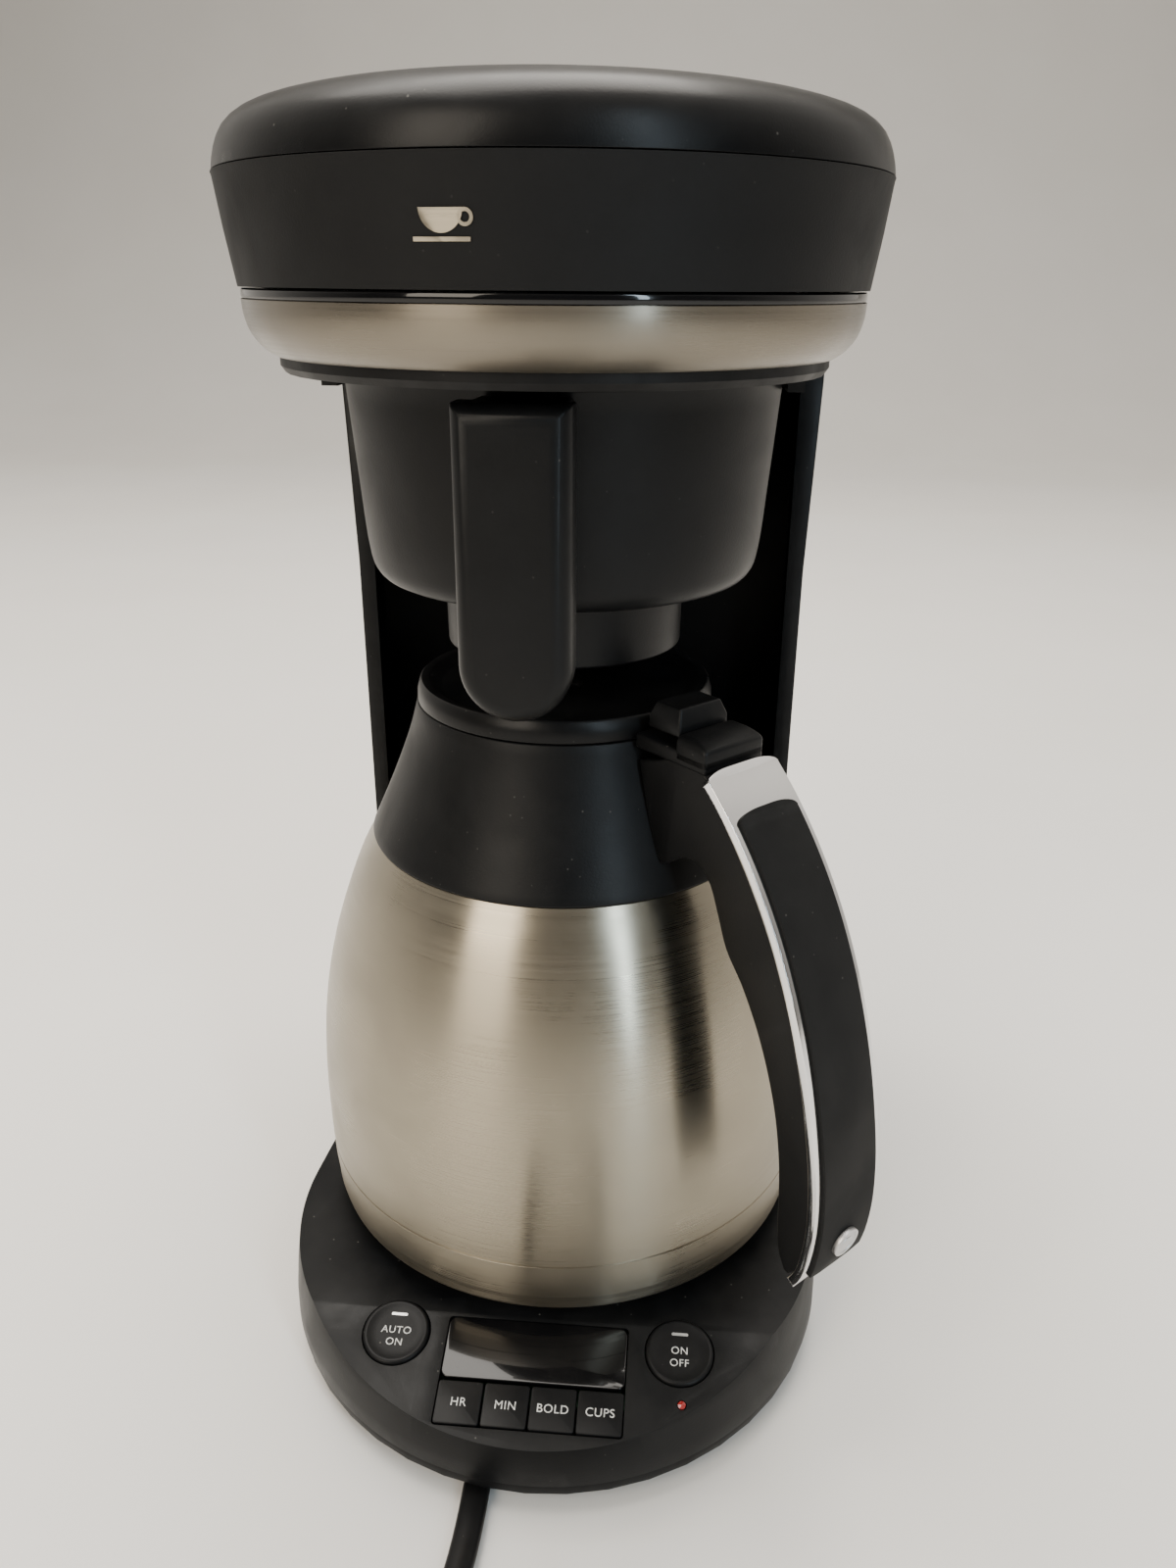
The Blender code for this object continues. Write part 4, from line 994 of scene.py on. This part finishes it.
base = banded("base_body", BASE, [(0, 11.5), (0.15, 18.0), (1.0, 27.0), (2.0, 34.6)], caps=(True, True))
trim_at(base, panel.translation, slope)
room = banded("room", BASE, [(2.6, 10.0), (4.6, 31.6)], caps=(True, True))
trim_at(room, panel.translation - slope * 2.6 * MM, slope)
cut_with(base, room)
cut_with(base, turned("seat_cut", [(0, 33.6), (74.3, 33.6), (74.3, 40), (0, 40)]))
window = pillow("window", WINDOW_HALF + 0.35, 17.1, 1.3, -HOLE_DEPTH, HOLE_DEPTH, (0, -0.8))
cut_with(base, on_panel(window))
for radius, middle, steps in ((11.0, (-BUTTON_X, BUTTON_UP), 96), (11.0, (BUTTON_X, BUTTON_UP), 96),
                              (1.5, (46, -6.5), 32)):
    shaft = [(0, -HOLE_DEPTH), (radius, -HOLE_DEPTH), (radius, HOLE_DEPTH), (0, HOLE_DEPTH)]
    cut_with(base, on_panel(turned("round_cut", shaft, middle, steps)))
soften(base, 0.7, 4, 28)
keep(base, "machine", satin_black, "soft_black_plastic", "base_shell")

# %% The seat under the flask and the feet
seat = turned("flask_seat", [(0, 33.9), (74.0, 33.9), (74.0, 34.7), (73.5, 35.1), (66.0, 35.1), (65.6, 34.8),
                             (64.6, 34.8), (64.2, 35.1), (38.0, 35.1), (37.6, 34.8), (36.6, 34.8),
                             (36.2, 35.1), (0, 35.1)])
soften(seat, 0.1, 2, 40)
keep(seat, "machine", black_rubber, "black_rubber", "seat_pad")
for number, (x, y) in enumerate(((-60, -52), (60, -52), (-58, 134), (58, 134)), 1):
    profile = [(0, 0.4), (4.4, 0.4), (4.8, 0), (7.0, 0), (8.0, 1.2), (7.4, 5.7), (0, 5.7)]
    foot = turned(f"rubber_foot_{number}", profile, (x, y), 48)
    soften(foot, 0.3, 2)
    keep(foot, "machine", black_rubber, "black_rubber", f"foot_{number}")

# %% [markdown]
# ## The controls
# A dark window covers the clock. Under it sit four narrow keys in one row, and a round button stands
# on each side. Each cap is slightly crowned with a fine rim, and its words are printed in white, so
# they are thin text turned into mesh and laid a hair above the plastic.

# %% Window, keys and buttons
glass = on_panel(pillow("display_window", WINDOW_HALF, 9.7, 2.4, -2.6, 0.25, (0, 6.3)))
soften(glass, 0.3, 3)
keep(glass, "machine", gloss_black, "gloss_black_plastic", "display_lens")
key_width = (2 * WINDOW_HALF - 3 * KEY_SPLIT) / 4
key_places = {}
for number, key in enumerate(("hour", "minute", "bold", "cups")):
    x = -WINDOW_HALF + key_width / 2 + number * (key_width + KEY_SPLIT)
    key_places[key] = (x, KEY_UP)
    cap_top = pillow(f"{key}_cap", key_width / 2, KEY_HALF, 0.9, -3.2, 0.35, (x, KEY_UP))
    stem = turned("stem", [(0, -5.4), (2.0, -5.4), (2.0, -3.1), (0, -3.1)], (x, KEY_UP), 24)
    cap_top = on_panel(join(f"{key}_cap", cap_top, stem))
    soften(cap_top, 0.35, 3)
    keep(cap_top, f"{key}_key", key_black, "soft_black_plastic", f"{key}_key")
for side, name in ((-1, "auto_button"), (1, "power_button")):
    face = [(0, -5.4), (3.0, -5.4), (3.0, -3.2), (10.65, -3.2), (10.65, 0.2), (10.3, 0.75), (9.7, 0.98)]
    face += [(9.2, 0.95), (8.6, 0.72), (6.0, 0.62), (0, 0.56)]
    button = on_panel(turned(f"{name}_cap", face, (side * BUTTON_X, BUTTON_UP), 96))
    soften(button, 0.15, 2)
    keep(button, name, key_black, "soft_black_plastic", name)

# %% Printed words and marks
ink, tree, shader = bare("white_print", (0.62, 0.62, 0.60), 0.5)
thin = node(tree, "TexNoise", {"Vector": on_object(tree), "Scale": 900.0})
patchy = spread(tree, thin.outputs[0], 0.35, 0.6)
tree.links.new(blended(tree, patchy, (0.42, 0.42, 0.41), (0.70, 0.70, 0.68)), shader.inputs["Base Color"])


def printed(name, words, size, middle, height, body):
    nothing_selected()
    bpy.ops.object.text_add(location=(0, 0, 0))
    made = bpy.context.object
    made.data.body, made.data.size, made.data.extrude = words, size * MM, 0.03 * MM
    made.data.align_x, made.data.align_y, made.data.space_character = "CENTER", "CENTER", 1.08
    bpy.ops.object.convert(target="MESH")
    made.location = spot(*middle, height)
    fresh(name)
    made.name = name
    return keep(on_panel(made), body, ink, "soft_black_plastic")


for key, words in (("hour", "HR"), ("minute", "MIN"), ("bold", "BOLD"), ("cups", "CUPS")):
    printed(f"{key}_word", words, 3.6, key_places[key], 0.37, f"{key}_key")
for side, name, words in ((-1, "auto_button", ("AUTO", "ON")), (1, "power_button", ("ON", "OFF"))):
    for row, word in enumerate(words):
        printed(f"{name}_word_{row + 1}", word, 3.3, (side * BUTTON_X, 9.9 - 3.9 * row), 0.68, name)
    dash = pillow(f"{name}_dash", 2.6, 0.45, 0.4, 0.0, 0.12, (0, 0))
    dash.location = Vector((side * BUTTON_X, 15.2, 0.66)) * MM
    fresh(f"{name}_dash")
    keep(on_panel(dash), name, plain_steel, "plain_steel")

# %% [markdown]
# ## The mark on the head
# The ring carries a small mark in front. Here it is a plain cup, which says only what the machine is
# for: a bowl from half a circle, a ring for its ear and a thin line for the saucer. Each is flat, and
# is pressed on to the ring's curve by a Shrinkwrap modifier.

# %% A small cup in metal
IN_FRONT = -90                  # y a little in front of the head, where the flat shapes are drawn


def disc_on_ring(name, x, z, radius, half=False):
    """A flat disc standing up in front of the head, cut in half where asked."""
    nothing_selected()
    bpy.ops.mesh.primitive_circle_add(vertices=48, radius=radius * MM, fill_type="NGON",
                                      location=spot(x, IN_FRONT, z), rotation=(math.pi / 2, 0, 0))
    made = fresh(name)
    bpy.ops.object.mode_set(mode="EDIT")
    if half:
        bpy.ops.mesh.bisect(plane_co=spot(x, IN_FRONT, z), plane_no=(0, 0, 1), clear_outer=True)
    else:
        bpy.ops.mesh.inset(thickness=radius * 0.42 * MM)
        bpy.ops.mesh.delete(type="FACE")
    bpy.ops.object.mode_set(mode="OBJECT")
    return made


cup = disc_on_ring("bowl", -14.0, 354.6, 4.6, half=True)
ear = disc_on_ring("ear", -9.0, 352.9, 1.7)
nothing_selected()
bpy.ops.mesh.primitive_plane_add(size=12 * MM, location=spot(-14.0, IN_FRONT, 348.9),
                                 rotation=(math.pi / 2, 0, 0))
bpy.context.object.scale = (1, 0.07, 1)
saucer = fresh("saucer")
emblem = join("cup_badge", cup, ear, saucer)
only(emblem)
bpy.ops.object.mode_set(mode="EDIT")
bpy.ops.mesh.select_all(action="SELECT")
bpy.ops.mesh.subdivide(number_cuts=3)
bpy.ops.object.mode_set(mode="OBJECT")
modify(emblem, "SHRINKWRAP", target=collar, wrap_method="PROJECT", use_project_y=True, use_project_x=False,
       use_negative_direction=False, use_positive_direction=True, offset=0.0002)
modify(emblem, "SOLIDIFY", thickness=0.35 * MM, offset=0)
close_up(emblem)
keep(emblem, "machine", brushed_steel, "brushed_steel")

# %% [markdown]
# ## The boot on the lead
# Rubber boots are grooved so that they bend evenly. The profile steps in and out as it narrows, and
# the piece is laid over on its side to point down and forwards from its hole in the base.

# %% Turn the boot and lay it down
profile = [(0, 0), (5.0, 0), (5.4, 0.4), (5.4, 2.2), (4.9, 2.6)]
for groove in range(6):
    at, wide = 4.2 + groove * 3.4, 4.7 - groove * 0.14
    profile += [(wide, at), (wide, at + 1.5), (wide - 0.7, at + 1.9), (wide - 0.75, at + 2.9)]
boot = turned("lead_boot", profile + [(3.5, 24.6), (3.3, 25.0), (0, 25.0)], (0, 0), 48)
BOOT_DROOP = math.radians(16)
boot.matrix_world = (Matrix.Translation(spot(-22.0, 97.0, 12.4))
                     @ Matrix.Rotation(math.pi / 2 + BOOT_DROOP, 4, "X")
                     @ Matrix.Translation(-spot(0, 0, 0)))
only(boot)
bpy.ops.object.transform_apply(location=True, rotation=True, scale=True)
soften(boot, 0.2, 2)
keep(boot, "machine", black_rubber, "black_rubber", "strain_relief")

# %% [markdown]
# ## Finishes for the frame parts that stay
# The parts inside the machine, and the small metal ones, are right as they are. They only need what
# they are made of: a smoky tank, clear hoses, a green board and a deep red lens.

# %% The last finishes
smoke, tree, shader = bare("smoked_plastic", (0.06, 0.06, 0.065), 0.16, Transmission_Weight=0.55, IOR=1.5)
swirl = effect(tree, smudge, Scale=40.0)
tree.links.new(spread(tree, swirl.outputs["Mask"], 0, 1, 0.13, 0.3), shader.inputs["Roughness"])
hose, tree, shader = bare("clear_silicone", (0.72, 0.70, 0.66), 0.35, Transmission_Weight=0.3)
swirl = effect(tree, smudge, Scale=120.0)
cloudy = blended(tree, swirl.outputs["Mask"], (0.62, 0.60, 0.56), (0.74, 0.72, 0.69))
tree.links.new(cloudy, shader.inputs["Base Color"])
board, tree, shader = bare("circuit_board", (0.02, 0.12, 0.05), 0.42)
tracks = node(tree, "TexVoronoi", {"Vector": on_object(tree), "Scale": 420.0},
              distance="MANHATTAN")
printed_lines = spread(tree, tracks.outputs["Distance"], 0.35, 0.4)
tree.links.new(blended(tree, printed_lines, (0.02, 0.15, 0.06), (0.01, 0.09, 0.035)),
               shader.inputs["Base Color"])
screen, tree, shader = bare("display_screen", (0.07, 0.09, 0.075), 0.25)
cells = node(tree, "TexNoise", {"Vector": on_object(tree), "Scale": 60.0})
tree.links.new(blended(tree, cells.outputs[0], (0.06, 0.08, 0.065), (0.09, 0.11, 0.09)),
               shader.inputs["Base Color"])
red, tree, shader = bare("red_lens", (0.28, 0.012, 0.012), 0.18, Coat_Weight=0.4)
depth = node(tree, "TexNoise", {"Vector": on_object(tree), "Scale": 900.0})
tree.links.new(blended(tree, depth.outputs[0], (0.20, 0.008, 0.008), (0.36, 0.02, 0.02)),
               shader.inputs["Base Color"])
spring_steel = metal("spring_steel", (0.50, 0.50, 0.51), 0.3, 0.02, 1500, 1500, 0.9)
stay = {"water_tank": smoke, "cold_hose": hose, "riser_tube": hose, "check_valve": black_rubber,
        "lid_seal": black_rubber, "control_board": board, "display_module": screen, "status_light": red,
        "heating_element": aluminium, "thermostat": plain_steel, "lid_hinge_pin": plain_steel,
        "lever_pin": plain_steel, "drip_spring": spring_steel, "carafe_flask": brushed_steel,
        "plug_blade_narrow": plain_steel, "plug_blade_wide": plain_steel}
stay.update({f"base_screw_{number}": plain_steel for number in range(1, 5)})
for name, finish in stay.items():
    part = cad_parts[name]
    for slot in part.material_slots:
        slot.material = finish
    if not part.material_slots:
        part.data.materials.append(finish)
print(len(stay), "frame parts given their finish")

# %% [markdown]
# ## The floor and the light
# The machine stands on a plain pale floor that curves up behind it. A large soft light on the left
# makes the broad glow on the lid, a tall narrow one on the right draws the bright streak down the
# flask, and a soft one overhead fills the deck.

# %% A floor that curves up into a backdrop
nothing_selected()
bpy.ops.mesh.primitive_plane_add(size=4.0, location=(0, 0, 0))
floor = fresh("floor")
bpy.ops.object.mode_set(mode="EDIT")
pick(lambda e: all(v.co.y > 1.9 for v in e.verts), "edges")
for step in range(8):
    angle = math.radians(11.25 * (step + 0.5))
    bpy.ops.mesh.extrude_region_move(TRANSFORM_OT_translate={"value": (0, 0.16 * math.cos(angle),
                                                                       0.16 * math.sin(angle))})
bpy.ops.mesh.extrude_region_move(TRANSFORM_OT_translate={"value": (0, 0, 1.6)})
bpy.ops.object.mode_set(mode="OBJECT")
bpy.ops.object.shade_smooth()
pale, tree, shader = bare("pale_floor", (0.72, 0.70, 0.67), 0.55)
mottle = node(tree, "TexNoise", {"Vector": on_object(tree), "Scale": 6.0, "Detail": 4.0})
tree.links.new(blended(tree, mottle.outputs[0], (0.70, 0.68, 0.65), (0.75, 0.735, 0.71)),
               shader.inputs["Base Color"])
floor.data.materials.append(pale)
print("floor laid")


# %% Soft studio lights
def soft_light(name, place, target, wide, high, power, colour):
    light = bpy.data.lights.new(name, "AREA")
    light.shape, light.size, light.size_y = "RECTANGLE", wide, high
    light.energy, light.color = power, colour
    made = bpy.data.objects.new(name, light)
    bpy.context.scene.collection.objects.link(made)
    made.location = place
    made.rotation_euler = (Vector(target) - Vector(place)).to_track_quat("-Z", "Y").to_euler()
    return made


soft_light("left_window", (-0.85, -1.35, 1.05), (0, 0, 0.2), 0.75, 1.3, 24, (1.0, 0.90, 0.76))
soft_light("right_strip", (0.78, -1.15, 0.85), (0, 0, 0.12), 0.10, 1.3, 11, (0.72, 0.88, 1.0))
soft_light("overhead", (-0.2, 0.4, 1.9), (0, 0.1, 0.2), 1.7, 1.3, 62, (1.0, 0.95, 0.88))
world = bpy.data.worlds.new("room")
world.use_nodes = True
tree = world.node_tree
way = node(tree, "SeparateXYZ", {0: node(tree, "TexCoord").outputs["Generated"]})
behind = spread(tree, way.outputs["Y"], -0.45, 0.35, 0.06, 0.90)
above = spread(tree, way.outputs["Z"], 0.35, 0.8, 0.0, 0.55)
total = node(tree, "Math", {0: behind, 1: above}, operation="ADD")
tree.links.new(total.outputs[0], tree.nodes["Background"].inputs["Strength"])
tree.nodes["Background"].inputs["Color"].default_value = (0.98, 0.92, 0.83, 1)
bpy.context.scene.world = world
print("lights set")

# %% Update the scene
bpy.context.view_layer.update()
